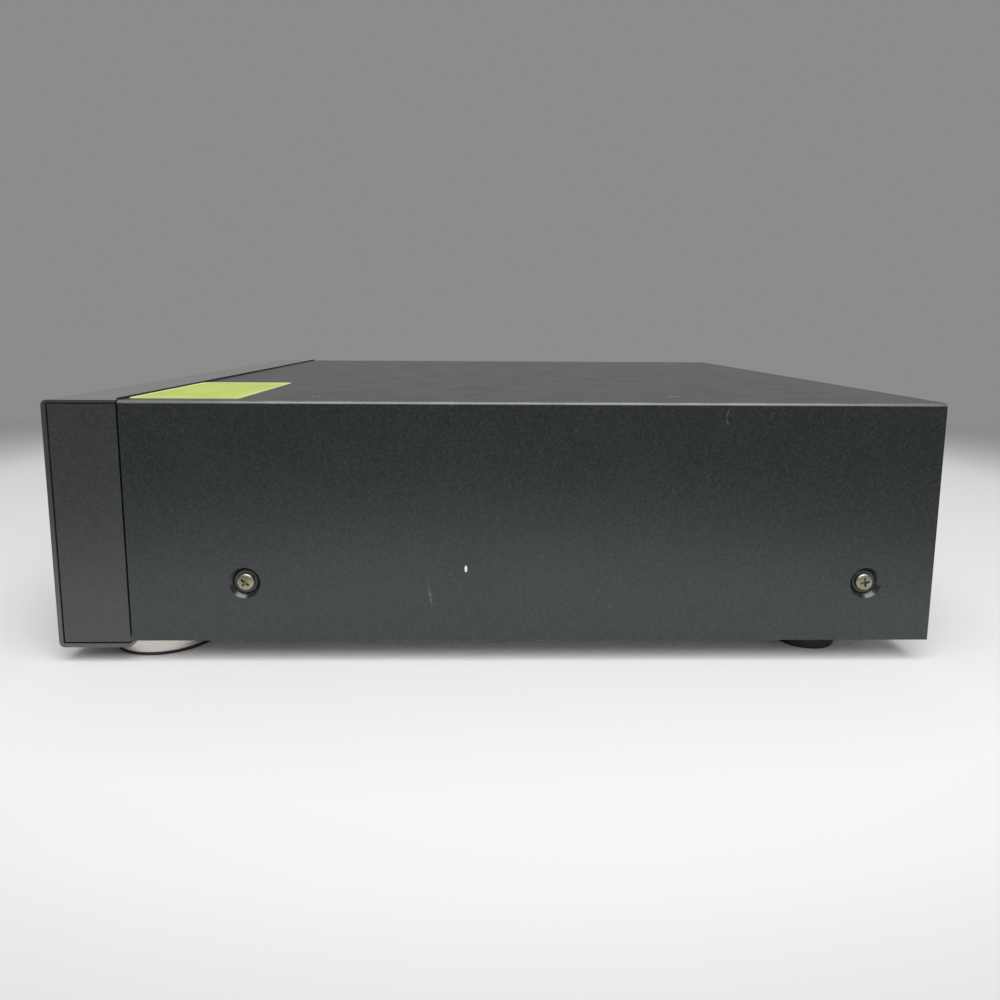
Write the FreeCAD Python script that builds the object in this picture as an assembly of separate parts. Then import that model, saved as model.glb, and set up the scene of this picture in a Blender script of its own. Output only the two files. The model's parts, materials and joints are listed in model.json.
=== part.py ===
"""Full-width hi-fi disc changer with a five-place carousel in a sliding drawer.

Frame: +Z up, the fascia faces -Y, the origin lies under the middle of the whole unit on the surface
that it stands on. Sizes are in millimetres. Depths named d_... are measured back from the front edge
of the top cover, and y_at() turns them into Y.
"""
import FreeCAD, Part
import math
import os

V = FreeCAD.Vector

# ---- overall sizes -------------------------------------------------------------------------------
unit_width = 435.0
cover_depth = 397.0
cover_height = 119.4
foot_height = 11.5
sheet = 1.2
fascia_depth = 35.0
fascia_gap = 1.0
fascia_drop = 3.5
socket_proud = 9.0
drawer_front_proud = 1.2
bend_radius = 1.8

# ---- discs and carousel --------------------------------------------------------------------------
disc_count = 5
disc_diameter = 120.0
small_disc_diameter = 80.0
well_clearance = 1.0
well_web = 2.6
carousel_rim = 3.0
carousel_floor = 2.0
small_well_depth = 1.5
well_depth = 4.2
pickup_slot_width = 50.0
ring_teeth = 40
ring_module = 2.0
carousel_gear_teeth = 14
pivot_radius = 6.0
carousel_hub_radius = pivot_radius + 4.0
carousel_web = 1.5

# ---- drawer --------------------------------------------------------------------------------------
drawer_travel = 240.0
under_drawer_space = 57.3
drawer_floor = 2.5
carousel_lift = 10.5
drawer_wall = 2.5
glide_count = 6
runner_width = 6.0
runner_height = 3.0
rack_module = 1.25
rack_height = 5.2
drive_teeth = 20

# ---- fits and clearances -------------------------------------------------------------------------
running_fit = 0.05
slide_gap = 0.3
panel_gap = 0.8
backlash = 0.25
button_gap = 0.3

# ---- fascia --------------------------------------------------------------------------------------
fascia_wall = 2.2
fascia_top_wall = 1.3
fascia_bottom_wall = 2.1
fascia_radius = 2.8
end_cap_groove = 0.5
subframe_wall = 2.0
button_proud = 1.2
button_travel = 1.0
knob_proud = 9.0

# ---- lift mechanism ------------------------------------------------------------------------------
lift_angle = 9.0
lift_slide = 44.0
pickup_travel = 35.0
pickup_inner_radius = 23.0
rod_radius = 1.5
lift_pin_radius = 2.0

# ---- heights, from the floor up ------------------------------------------------------------------
base_z = foot_height
base_top = base_z + sheet
cover_top = base_z + cover_height
fascia_low = base_z - fascia_drop
drawer_floor_z = base_top + under_drawer_space
drawer_floor_top = drawer_floor_z + drawer_floor
carousel_z = drawer_floor_top + carousel_lift
small_well_z = carousel_z + carousel_floor
ledge_z = small_well_z + small_well_depth
rim_z = ledge_z + well_depth
play_z = rim_z + 0.8
rack_z = drawer_floor_z - rack_height
aperture_low = rack_z - 1.5
aperture_high = rim_z + 7.3

# ---- widths --------------------------------------------------------------------------------------
half_width = unit_width / 2
well_radius = disc_diameter / 2 + well_clearance
small_well_radius = small_disc_diameter / 2 + well_clearance
well_circle = (well_radius + well_web / 2) / math.sin(math.pi / disc_count)
carousel_radius = well_circle + well_radius + carousel_rim
drawer_half = carousel_radius + 3.0 + drawer_wall
runner_half = drawer_half + runner_width
rail_half = drawer_half + 1.5
rail_web_half = runner_half + 1.5
aperture_half = runner_half + 1.5
wall_out = half_width - 2.6 - sheet
notch_half = 54.0

# ---- depths --------------------------------------------------------------------------------------
overall_depth = knob_proud + fascia_depth + fascia_gap + cover_depth - sheet + socket_proud
cover_front_y = -overall_depth / 2 + knob_proud + fascia_depth + fascia_gap
d_fascia = -fascia_gap - fascia_depth
d_drawer_wall = d_fascia + 10.0
d_carousel = d_drawer_wall + drawer_wall + 6.0 + carousel_radius
d_spindle = d_carousel + well_circle
d_drawer_end = d_carousel + carousel_radius + 28.0
d_rear_panel = cover_depth - 2 * sheet
d_frame_front = d_spindle - 33.0
d_frame_back = d_spindle + 93.0
d_hinge = d_frame_back + 20.0
d_slider = d_frame_front - 10.0
d_gears = 26.0
d_board = d_fascia + 14.0

# ---- the lift mechanism's own places, in its raised position --------------------------------------
frame_half = 46.0
frame_wall = 3.0
frame_z = carousel_z - 17.0
frame_top = carousel_z - 3.0
hinge_z = base_top + 37.3
rod_z = frame_top - 6.0
rod_x = 20.0
screw_x = 34.0
feed_motor_radius = 5.0

# ---- the loading drive ---------------------------------------------------------------------------
rack_pitch_x = -120.0
drive_radius = rack_module * drive_teeth / 2
reduction_module = 1.0
reduction_teeth = 40
pulley_pinion_teeth = 14
drive_x = rack_pitch_x + drive_radius
pulley_x = drive_x + reduction_module * (reduction_teeth + pulley_pinion_teeth) / 2
motor_x = pulley_x + 48.0
pulley_radius = 17.0
motor_pulley_radius = 4.5
belt_thickness = 1.2
belt_width = 2.0
deck_top = base_top + 41.3
deck_thickness = 2.5
tooth_addendum = 0.8
tooth_dedendum = 1.0
pressure_angle = math.radians(20.0)

# ---- the carousel drive --------------------------------------------------------------------------
ring_radius = ring_module * ring_teeth / 2
carousel_gear_radius = ring_module * carousel_gear_teeth / 2
carousel_gear_angle = 18.0
carousel_gear_x = (ring_radius + carousel_gear_radius) * math.cos(math.radians(carousel_gear_angle))
carousel_gear_d = d_carousel + (ring_radius + carousel_gear_radius) * math.sin(math.radians(carousel_gear_angle))
carousel_pulley_radius = 15.0
carousel_motor_x = 105.0
carousel_motor_d = d_carousel + 103.0

# ---- feet and screws -----------------------------------------------------------------------------
front_foot_radius = 25.3
front_foot_x = half_width - 33.5
front_foot_d = 4.0
front_pad = 1.8
rear_foot_radius = 15.0
rear_foot_x = half_width - 30.5
rear_foot_d = cover_depth - 50.0
side_screw_z = base_z + 29.6
side_screw_depths = (56.4, cover_depth - 33.3)
dimple_radius = 7.8
dimple_floor_radius = 5.6
dimple_depth = 2.6
screw_head_radius = 4.0
screw_head = 2.0
screw_shank_radius = 1.9
screw_length = 7.0

# ---- the front controls: x, height above the fascia's lower edge, width and height ---------------
lower_row = fascia_low + 21.0
upper_row = fascia_low + 41.0
buttons = {
    "power_button": (-190.0, fascia_low + 30.0, 20.0, 12.0),
    "previous_button": (84.0, lower_row, 18.0, 8.0),
    "next_button": (108.0, lower_row, 18.0, 8.0),
    "stop_button": (136.0, lower_row, 22.0, 10.0),
    "play_pause_button": (165.0, lower_row, 22.0, 10.0),
    "open_close_button": (194.0, upper_row, 22.0, 8.0),
}
disc_button_first_x = 82.0
disc_button_pitch = 20.0
for disc_number in range(1, disc_count + 1):
    disc_button_x = disc_button_first_x + disc_button_pitch * (disc_number - 1)
    buttons[f"disc_{disc_number}_button"] = (disc_button_x, upper_row, 13.0, 7.0)
button_stem = 4.0
window_x = (-85.0, 55.0)
window_z = (fascia_low + 14.0, fascia_low + 49.0)
jack_x = -155.0
knob_x = -122.0
jack_radius = 3.2
jack_length = 14.0
knob_radius = 8.0
knob_shaft_radius = 3.0

# ---- rear sockets --------------------------------------------------------------------------------
socket_z = base_top + 26.0
socket_x = -140.0
socket_pitch = 16.0
socket_radius = 4.15
socket_collar = 0.8
socket_collar_radius = socket_radius + 1.2
inlet_x = 150.0
inlet_z = base_top + 28.0
inlet_half_width = 8.0
inlet_half_height = 4.2
inlet_pin_radius = 1.2
inlet_pin_pitch = 8.6
vent_count = 9


# ---- small helpers -------------------------------------------------------------------------------
def y_at(depth):
    """Y of a depth behind the cover's front edge."""
    return cover_front_y + depth


def block(xs, depths, zs):
    """A box from (low, high) pairs of X, depth and Z."""
    size = (xs[1] - xs[0], depths[1] - depths[0], zs[1] - zs[0])
    return Part.makeBox(*size, V(xs[0], y_at(depths[0]), zs[0]))


def upright(x, depth, z_low, z_high, radius):
    """A vertical cylinder."""
    return Part.makeCylinder(radius, z_high - z_low, V(x, y_at(depth), z_low))


def along_y(x, z, depth_low, depth_high, radius):
    """A cylinder that runs front to back."""
    return Part.makeCylinder(radius, depth_high - depth_low, V(x, y_at(depth_low), z), V(0, 1, 0))


def along_x(depth, z, x_low, x_high, radius):
    """A cylinder that runs left to right."""
    return Part.makeCylinder(radius, x_high - x_low, V(x_low, y_at(depth), z), V(1, 0, 0))


def fuse(shapes):
    return shapes[0].multiFuse(shapes[1:]).removeSplitter()


def both_sides(shape):
    """A shape and its mirror image across the middle of the unit."""
    return [shape, shape.mirror(V(0, 0, 0), V(1, 0, 0))]


def edges_along(shape, axis, test):
    """The straight edges parallel to an axis whose middle point passes the test."""
    found = []
    for edge in shape.Edges:
        if len(edge.Vertexes) != 2:
            continue
        run = edge.Vertexes[1].Point.sub(edge.Vertexes[0].Point)
        if run.Length > 0 and abs(abs(run.dot(axis)) - run.Length) < 1e-6 and test(edge.CenterOfMass):
            found.append(edge)
    return found


def save(name, shape):
    shape.exportStep(f"parts/{name}.step")


def loop_face(first, first_radius, second, second_radius):
    """The area inside a belt round two circles, given as (x, y), in the XY plane."""
    span = math.hypot(second[0] - first[0], second[1] - first[1])
    heading = math.atan2(second[1] - first[1], second[0] - first[0])
    lean = math.acos((first_radius - second_radius) / span)

    def on(centre, radius, angle):
        return V(centre[0] + radius * math.cos(angle), centre[1] + radius * math.sin(angle), 0)

    far = Part.Arc(on(first, first_radius, heading + lean), on(first, first_radius, heading + math.pi),
                   on(first, first_radius, heading - lean)).toShape()
    near = Part.Arc(on(second, second_radius, heading - lean), on(second, second_radius, heading),
                    on(second, second_radius, heading + lean)).toShape()
    lower = Part.makeLine(on(first, first_radius, heading - lean), on(second, second_radius, heading - lean))
    upper = Part.makeLine(on(second, second_radius, heading + lean), on(first, first_radius, heading + lean))
    return Part.Face(Part.Wire([far, lower, near, upper]))


def belt(first, first_radius, second, second_radius, z):
    """A flat belt that rides slide_gap clear of two pulley grooves."""
    inner = loop_face(first, first_radius + slide_gap, second, second_radius + slide_gap)
    outer_gap = slide_gap + belt_thickness
    outer = loop_face(first, first_radius + outer_gap, second, second_radius + outer_gap)
    ring = outer.cut(inner).extrude(V(0, 0, belt_width))
    ring.translate(V(0, 0, z))
    return ring


def involute(angle):
    return math.tan(angle) - angle


def gear(teeth, module, height, phase=0.0):
    """A spur gear about Z, each flank the chord of its involute, one tooth centred at the phase angle."""
    pitch = teeth * module / 2
    base = pitch * math.cos(pressure_angle)
    tip = pitch + tooth_addendum * module
    root = pitch - tooth_dedendum * module
    half_tooth = math.pi / (2 * teeth) - backlash / (2 * pitch) + involute(pressure_angle)
    half_tip = half_tooth - involute(math.acos(base / tip))
    half_root = half_tooth - involute(math.acos(min(1.0, base / root)))
    points = []
    for index in range(teeth):
        centre = math.radians(phase) + index * 2 * math.pi / teeth
        for radius, offset in ((root, -half_root), (tip, -half_tip), (tip, half_tip), (root, half_root)):
            angle = centre + offset
            points.append(V(radius * math.cos(angle), radius * math.sin(angle), 0))
    return Part.Face(Part.makePolygon(points + points[:1])).extrude(V(0, 0, height))


def placed(shape, x, depth, z):
    shape.translate(V(x, y_at(depth), z))
    return shape


def pulley(x, depth, z, groove_radius, height):
    """A flanged pulley with a flat-bottomed groove."""
    flange = (height - belt_width - 2 * slide_gap) / 2
    disc = upright(x, depth, z, z + height, groove_radius + belt_thickness)
    groove = upright(x, depth, z + flange, z + height - flange, groove_radius + 2 * belt_thickness)
    core = upright(x, depth, z + flange, z + height - flange, groove_radius)
    return disc.cut(groove.cut(core))


def pan_screw(head_centre, direction, head_radius, head, shank_radius, length):
    """A pan-head screw; the direction points out of the head."""
    rim = Part.makeCylinder(head_radius, head * 0.5)
    dome = Part.makeCone(head_radius, head_radius * 0.75, head * 0.5, V(0, 0, head * 0.5))
    shank = Part.makeCylinder(shank_radius, length, V(0, 0, -length))
    shape = fuse([rim, dome, shank])
    shape.Placement = FreeCAD.Placement(head_centre, FreeCAD.Rotation(V(0, 0, 1), direction))
    return shape


def motor(x, depth, z_low, z_high, radius, shaft_radius, shaft_top):
    """A small can motor with its shaft up."""
    boss = 1.5
    can = upright(x, depth, z_low, z_high - boss, radius)
    neck = upright(x, depth, z_high - boss, z_high, radius * 0.45)
    shaft = upright(x, depth, z_high - boss, shaft_top, shaft_radius)
    tail = upright(x, depth, z_low - boss, z_low, radius * 0.35)
    return fuse([can, neck, shaft, tail])


# ---- casing --------------------------------------------------------------------------------------
def top_cover():
    """The folded steel wrap: top, two sides, a rear lip, and four pressed screw dimples."""
    outer = block((-half_width, half_width), (0, cover_depth), (base_z, cover_top))
    top_edges = edges_along(outer, V(0, 1, 0), lambda point: point.z > cover_top - sheet)
    outer = outer.makeFillet(bend_radius, top_edges)
    inside = half_width - sheet
    inner = block((-inside, inside), (-sheet, cover_depth + sheet), (base_z - sheet, cover_top - sheet))
    inner_edges = edges_along(inner, V(0, 1, 0), lambda point: point.z > cover_top - 2 * sheet)
    inner = inner.makeFillet(bend_radius - sheet, inner_edges)
    cover = outer.cut(inner)
    lip = block((-inside + 2.0, inside - 2.0), (cover_depth - sheet, cover_depth), (cover_top - 14.0, cover_top - sheet))
    cover = cover.fuse(lip)
    for x in rear_cover_screw_places():
        cover = cover.cut(along_y(x, cover_top - 7.0, d_rear_panel, cover_depth + sheet, screw_shank_radius + slide_gap))
    for depth in side_screw_depths:
        centre = V(half_width, y_at(depth), side_screw_z)
        cup = Part.makeCone(dimple_radius + sheet, dimple_floor_radius + sheet, dimple_depth + sheet, centre, V(-1, 0, 0))
        hollow = Part.makeCone(dimple_radius, dimple_floor_radius, dimple_depth, centre, V(-1, 0, 0))
        hole = along_x(depth, side_screw_z, half_width - 3 * dimple_depth, half_width, screw_shank_radius + slide_gap)
        for solid in both_sides(cup):
            cover = cover.fuse(solid)
        for tool in both_sides(hollow) + both_sides(hole):
            cover = cover.cut(tool)
    return cover.removeSplitter()


def rear_cover_screw_places():
    return (-half_width + 30.0, 0.0, half_width - 30.0)


def cover_side_screws():
    screws = []
    for depth in side_screw_depths:
        seat = half_width - dimple_depth
        for side in (-1, 1):
            head = V(side * seat, y_at(depth), side_screw_z)
            screws.append(pan_screw(head, V(side, 0, 0), screw_head_radius, screw_head, screw_shank_radius, screw_length))
    return Part.makeCompound(screws)


def rear_panel_screw_places():
    """X and Z of the screws that hold the rear panel to the chassis flange."""
    low = base_z + 6.0
    return [(-half_width + 20.0, low), (-40.0, low), (60.0, low), (half_width - 20.0, low)]


def rear_screws():
    screws = []
    for x in rear_cover_screw_places():
        head = V(x, y_at(cover_depth), cover_top - 7.0)
        screws.append(pan_screw(head, V(0, 1, 0), 3.2, 1.8, 1.5, 6.0))
    for x, z in rear_panel_screw_places():
        head = V(x, y_at(d_rear_panel + sheet), z)
        screws.append(pan_screw(head, V(0, 1, 0), 3.2, 1.8, 1.5, 6.0))
    return Part.makeCompound(screws)


def base_chassis():
    """The steel tray: floor, side walls for the cover screws, a front wall and a rear flange."""
    side_top = side_screw_z + 10.0
    front_top = aperture_low - 5.3
    floor = block((-wall_out, wall_out), (0, d_rear_panel), (base_z, base_top))
    front = block((-wall_out, wall_out), (0, sheet), (base_z, front_top))
    rear = block((-wall_out, wall_out), (d_rear_panel - sheet, d_rear_panel), (base_z, base_z + 10.0))
    side = block((wall_out - sheet, wall_out), (0, d_rear_panel), (base_z, side_top))
    tray = fuse([floor, front, rear] + both_sides(side))
    holes = []
    for depth in side_screw_depths:
        hole = along_x(depth, side_screw_z, wall_out - 2 * sheet, wall_out + sheet, screw_shank_radius + running_fit)
        holes += both_sides(hole)
    for x, z in rear_panel_screw_places():
        holes.append(along_y(x, z, d_rear_panel - 2 * sheet, d_rear_panel + sheet, 1.5 + running_fit))
    for column in range(vent_count):
        x = inlet_x - 54.0 + column * 8.0
        holes.append(block((x, x + 3.0), (cover_depth - 150.0, cover_depth - 115.0), (base_z - sheet, base_top + sheet)))
    return tray.cut(holes)


def rear_panel():
    """The flat rear plate with its socket and inlet cut-outs."""
    panel_half = half_width - sheet - 0.5
    panel = block((-panel_half, panel_half), (d_rear_panel, d_rear_panel + sheet), (base_z, cover_top - sheet - 0.5))
    reach = (d_rear_panel - sheet, d_rear_panel + 2 * sheet)
    tools = []
    for index in range(2):
        x = socket_x + index * socket_pitch
        tools.append(along_y(x, socket_z, reach[0], reach[1], socket_collar_radius + slide_gap))
    inlet = (inlet_half_width + 2.0 + slide_gap, inlet_half_height + 2.0 + slide_gap)
    tools.append(block((inlet_x - inlet[0], inlet_x + inlet[0]), reach, (inlet_z - inlet[1], inlet_z + inlet[1])))
    for x, z in rear_panel_screw_places():
        tools.append(along_y(x, z, reach[0], reach[1], 1.5 + running_fit))
    for x in rear_cover_screw_places():
        tools.append(along_y(x, cover_top - 7.0, reach[0], reach[1], 1.5 + running_fit))
    return panel.cut(tools)


# ---- fascia --------------------------------------------------------------------------------------
def button_opening(place, depths, gap):
    x, z, width, height = place
    return block((x - width / 2 - gap, x + width / 2 + gap), depths, (z - height / 2 - gap, z + height / 2 + gap))


def fascia_frame():
    """The aluminium C-section: front plate, top and bottom flanges, cut for drawer, window and keys."""
    outer = block((-half_width, half_width), (d_fascia, -fascia_gap), (fascia_low, cover_top))
    front_y = y_at(d_fascia)
    outer = outer.makeFillet(fascia_radius, edges_along(outer, V(1, 0, 0), lambda point: point.y < front_y + 1.0))
    hollow_z = (fascia_low + fascia_bottom_wall, cover_top - fascia_top_wall)
    hollow = block((-half_width - 1.0, half_width + 1.0), (d_fascia + fascia_wall, 0), hollow_z)
    through = (d_fascia - 1.0, d_fascia + fascia_wall + 1.0)
    tools = [hollow]
    tools.append(block((-aperture_half, aperture_half), through, (aperture_low, aperture_high)))
    tools.append(block(window_x, through, window_z))
    for place in buttons.values():
        tools.append(button_opening(place, through, 0))
    tools.append(along_y(jack_x, lower_row, through[0], through[1], jack_radius + 2.0))
    tools.append(along_y(knob_x, lower_row, through[0], through[1], knob_shaft_radius + 1.0))
    for side in (-1, 1):
        relief = front_foot_radius + 1.0
        tools.append(upright(side * front_foot_x, front_foot_d, fascia_low - 1.0, fascia_low + 4.0, relief))
    return outer.cut(tools)


def end_cap(side):
    """The flat moulded cap that closes one end of the C-section behind a thin groove."""
    subframe_half = half_width - 4.0
    xs = sorted((side * subframe_half, side * (half_width - 0.3)))
    depths = (d_fascia + fascia_wall + end_cap_groove, -fascia_gap)
    zs = (fascia_low + fascia_bottom_wall + end_cap_groove, cover_top - fascia_top_wall - end_cap_groove)
    cap = block(xs, depths, zs)
    foot = upright(side * front_foot_x, front_foot_d, fascia_low - 1.0, base_z + slide_gap, front_foot_radius + 1.0)
    return cap.cut(foot)


def front_subframe():
    """The moulded carrier behind the fascia: face plate, rim walls and a tunnel for the drawer."""
    half = half_width - 4.0
    face = (d_fascia + 4.5, d_fascia + 4.5 + subframe_wall)
    low = base_z + slide_gap
    high = cover_top - fascia_top_wall - slide_gap
    tunnel_x = aperture_half + 1.0
    tunnel_z = (aperture_low - 0.5, aperture_high + 0.5)
    outer = block((-half, half), (face[0], 0), (low, high))
    pocket_x = (-half + subframe_wall, half - subframe_wall)
    upper = block(pocket_x, (face[1], 1.0), (tunnel_z[1] + subframe_wall, high - subframe_wall))
    lower = block(pocket_x, (face[1], 1.0), (low + subframe_wall, tunnel_z[0] - subframe_wall))
    side = block((tunnel_x + subframe_wall, half - subframe_wall), (face[1], 1.0),
                 (tunnel_z[0] - subframe_wall, tunnel_z[1] + subframe_wall))
    tunnel = block((-tunnel_x, tunnel_x), (face[0] - 1.0, 1.0), tunnel_z)
    through = (face[0] - 1.0, face[1] + 1.0)
    tools = [upper, lower, tunnel] + both_sides(side)
    tools.append(block(display_xs(), through, display_zs()))
    for x, z, _, _ in buttons.values():
        tools.append(button_opening((x, z, button_stem, button_stem), through, button_gap))
    tools.append(along_y(jack_x, lower_row, through[0], through[1], jack_radius + 2.0))
    tools.append(along_y(knob_x, lower_row, through[0], through[1], knob_shaft_radius + 2.0))
    shell = outer.cut(tools)
    posts = []
    for x in (-half + 8.0, window_x[1] + 12.0, half - 8.0):
        for z in (low + 6.0, tunnel_z[0] - 8.0):
            posts.append(along_y(x, z, face[1], d_board, 2.5))
    return fuse([shell] + posts)


def display_xs():
    return (window_x[0] + 8.0, window_x[1] - 8.0)


def display_zs():
    return (window_z[0] + 5.0, window_z[1] - 5.0)


def display_window():
    """The smoked window: a plate that fills the opening, with a flange glued behind it."""
    gap = 0.15
    plate = block((window_x[0] + gap, window_x[1] - gap), (d_fascia, d_fascia + fascia_wall),
                  (window_z[0] + gap, window_z[1] - gap))
    flange = block((window_x[0] - 1.5, window_x[1] + 1.5), (d_fascia + fascia_wall, d_fascia + fascia_wall + 1.2),
                   (window_z[0] - 1.5, window_z[1] + 1.5))
    return plate.fuse(flange).removeSplitter()


def display_tube():
    """The fluorescent display: a flat glass envelope with its seal pip, standing on the board."""
    gap = 0.5
    xs = display_xs()
    zs = display_zs()
    glass = block((xs[0] + gap, xs[1] - gap), (d_fascia + 5.0, d_board - 2.0), (zs[0] + gap, zs[1] - gap))
    spacer = block((xs[0] + 6.0, xs[1] - 6.0), (d_board - 2.0, d_board), (zs[0] + 3.0, zs[1] - 3.0))
    pip = along_x(d_board - 4.0, (zs[0] + zs[1]) / 2, xs[0] - 2.5, xs[0] + gap, 1.5)
    return fuse([glass, spacer, pip])


def front_circuit_board():
    """The board behind the keys with its key switches, jack block and level control."""
    half = half_width - 8.0
    low = base_z + slide_gap + subframe_wall + 1.0
    high = aperture_low - 0.5 - subframe_wall - 1.0
    pieces = [block((-half, half), (d_board, d_board + 1.6), (low, high))]
    for x, z, _, _ in buttons.values():
        pieces.append(block((x - 3.0, x + 3.0), (switch_front(), d_board), (z - 3.0, z + 3.0)))
    level_body = block((knob_x - 6.0, knob_x + 6.0), (d_board - 5.0, d_board), (lower_row - 6.0, lower_row + 6.0))
    pieces.append(level_body)
    pieces.append(along_y(knob_x, lower_row, d_fascia + 1.0, d_board - 5.0, knob_shaft_radius))
    plug = block((-20.0, 20.0), (d_board + 1.6, d_board + 7.6), (low + 3.0, low + 9.0))
    pieces.append(plug)
    board = fuse(pieces)
    return board.cut(along_y(jack_x, lower_row, d_board - 1.0, d_board + 3.0, 5.5))


def switch_front():
    return d_board - 3.8


def headphone_jack():
    """A 6.3 mm jack socket: threaded nose, hexagon-sized collar and body block."""
    nose = along_y(jack_x, lower_row, d_fascia - 0.5, d_fascia + 6.5, jack_radius + 1.7)
    body = block((jack_x - 7.0, jack_x + 7.0), (d_fascia + 6.5, d_board), (lower_row - 7.0, lower_row + 7.0))
    tail = along_y(jack_x, lower_row, d_board, d_board + 4.0, 5.0)
    bore = along_y(jack_x, lower_row, d_fascia - 1.0, d_fascia - 0.5 + jack_length, jack_radius)
    return fuse([nose, body, tail]).cut(bore)


def headphone_level_knob():
    """A ribless turned knob with a skirt edge and a pointer notch, on the control's shaft."""
    front = d_fascia - knob_proud
    body = along_y(knob_x, lower_row, front + 0.8, d_fascia - 0.6, knob_radius)
    body = body.fuse(Part.makeCone(knob_radius - 0.8, knob_radius, 0.8, V(knob_x, y_at(front), lower_row), V(0, 1, 0)))
    bore = along_y(knob_x, lower_row, d_fascia + 0.5 - knob_proud / 2, d_fascia + 1.0, knob_shaft_radius + running_fit)
    notch = block((knob_x - 0.5, knob_x + 0.5), (front - 1.0, front + 0.6), (lower_row + 2.0, lower_row + knob_radius + 1))
    sleeve_end = d_fascia + 1.0
    body = body.cut([bore, notch])
    shaft_seat = along_y(knob_x, lower_row, d_fascia + 0.5 - knob_proud / 2, sleeve_end, knob_shaft_radius + running_fit)
    return body.cut(shaft_seat)


def button(place):
    """One key: the cap in the fascia, a retaining flange behind it and a stem to its switch."""
    x, z, width, height = place
    cap = button_opening(place, (d_fascia - button_proud, d_fascia + fascia_wall + slide_gap), -button_gap)
    front_edges = edges_along(cap, V(1, 0, 0), lambda point: point.y < y_at(d_fascia))
    front_edges += edges_along(cap, V(0, 0, 1), lambda point: point.y < y_at(d_fascia))
    cap = cap.makeChamfer(0.4, front_edges)
    flange_depths = (d_fascia + fascia_wall + slide_gap, d_fascia + fascia_wall + slide_gap + 0.9)
    flange = button_opening(place, flange_depths, 0.6)
    stem_end = switch_front() - button_travel - 0.1
    stem = button_opening((x, z, button_stem, button_stem), (flange_depths[1], stem_end), 0)
    return fuse([cap, flange, stem])


# ---- drawer and carousel -------------------------------------------------------------------------
def drawer_front():
    """The drawer's face: a plate with a hollow back that meets the drawer's front wall."""
    xs = (-aperture_half + panel_gap, aperture_half - panel_gap)
    zs = (aperture_low + panel_gap, aperture_high - panel_gap)
    front = d_fascia - drawer_front_proud
    plate = block(xs, (front, d_drawer_wall), zs)
    round_edges = edges_along(plate, V(1, 0, 0), lambda point: point.y < y_at(front) + 0.1)
    round_edges += edges_along(plate, V(0, 0, 1), lambda point: point.y < y_at(front) + 0.1)
    plate = plate.makeFillet(0.8, round_edges)
    pocket = block((xs[0] + 2.0, xs[1] - 2.0), (front + 3.0, d_drawer_wall + 1.0), (zs[0] + 2.0, zs[1] - 2.0))
    plate = plate.cut(pocket)
    ribs = []
    for x in (-120.0, -60.0, 0.0, 60.0, 120.0):
        ribs.append(block((x - 1.0, x + 1.0), (front + 3.0, d_drawer_wall), (zs[0] + 2.0, zs[1] - 2.0)))
    return fuse([plate] + ribs)


def drawer_base():
    """The drawer tray: floor with a notch for the lifting mechanism, walls, runners and the pivot."""
    floor = block((-drawer_half, drawer_half), (d_drawer_wall, d_drawer_end), (drawer_floor_z, drawer_floor_top))
    front = block((-drawer_half, drawer_half), (d_drawer_wall, d_drawer_wall + drawer_wall), (rack_z + 1.0, rim_z + 3.0))
    side = block((drawer_half - drawer_wall, drawer_half), (d_drawer_wall, d_drawer_end), (drawer_floor_z, rim_z))
    rear = block((notch_half, drawer_half), (d_drawer_end - drawer_wall, d_drawer_end), (drawer_floor_z, carousel_z))
    runner_z = runner_level()
    runner = block((drawer_half, runner_half), (d_drawer_wall + 6.0, d_drawer_end), (runner_z, runner_z + runner_height))
    glides = []
    for index in range(glide_count):
        pad = Part.makeBox(4.0, 10.0, carousel_z - slide_gap - drawer_floor_top, V(carousel_radius - 12.0, -5.0, 0))
        pad.rotate(V(0, 0, 0), V(0, 0, 1), (index + 0.5) * 360.0 / glide_count)
        glides.append(placed(pad, 0, d_carousel, drawer_floor_top))
    post_foot = upright(0, d_carousel, drawer_floor_top, drawer_floor_top + 0.5, pivot_radius + 4.0)
    post = upright(0, d_carousel, drawer_floor_top, rim_z + 1.5, pivot_radius)
    gear_post = upright(carousel_gear_x, carousel_gear_d, drawer_floor_top, carousel_z - 0.8, 2.0)
    tray = fuse([floor, front, post_foot, post, gear_post] + glides + both_sides(side) + both_sides(rear) + both_sides(runner))
    notch_front = d_frame_front - 5.0
    notch = block((-notch_half, notch_half), (notch_front, d_drawer_end + 1.0), (drawer_floor_z - 1.0, rim_z + 5.0))
    shaft = upright(carousel_motor_x, carousel_motor_d, drawer_floor_z - 1.0, drawer_floor_top + 1.0, 6.0)
    return tray.cut([notch, shaft])


def runner_level():
    return drawer_floor_top + 1.5


def drawer_rack():
    """The straight rack under the drawer floor, teeth towards the drive gear."""
    pitch = math.pi * rack_module
    tip = rack_pitch_x + tooth_addendum * rack_module
    root = rack_pitch_x - tooth_dedendum * rack_module
    lean = math.tan(pressure_angle)
    teeth = int(drawer_travel / pitch) + 5
    half_tip = pitch / 4 - backlash / 2 - tooth_addendum * rack_module * lean
    half_root = pitch / 4 - backlash / 2 + tooth_dedendum * rack_module * lean
    first = y_at(d_gears) - 2.5 * pitch
    low = first - pitch / 2
    high = first + (teeth - 0.5) * pitch
    back = rack_pitch_x - 7.0
    points = [V(back, low, 0), V(root, low, 0)]
    for index in range(teeth):
        centre = first + index * pitch
        points += [V(root, centre - half_root, 0), V(tip, centre - half_tip, 0)]
        points += [V(tip, centre + half_tip, 0), V(root, centre + half_root, 0)]
    points += [V(root, high, 0), V(back, high, 0), V(back, low, 0)]
    rack = Part.Face(Part.makePolygon(points)).extrude(V(0, 0, rack_height))
    rack.translate(V(0, 0, rack_z))
    return rack


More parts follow.
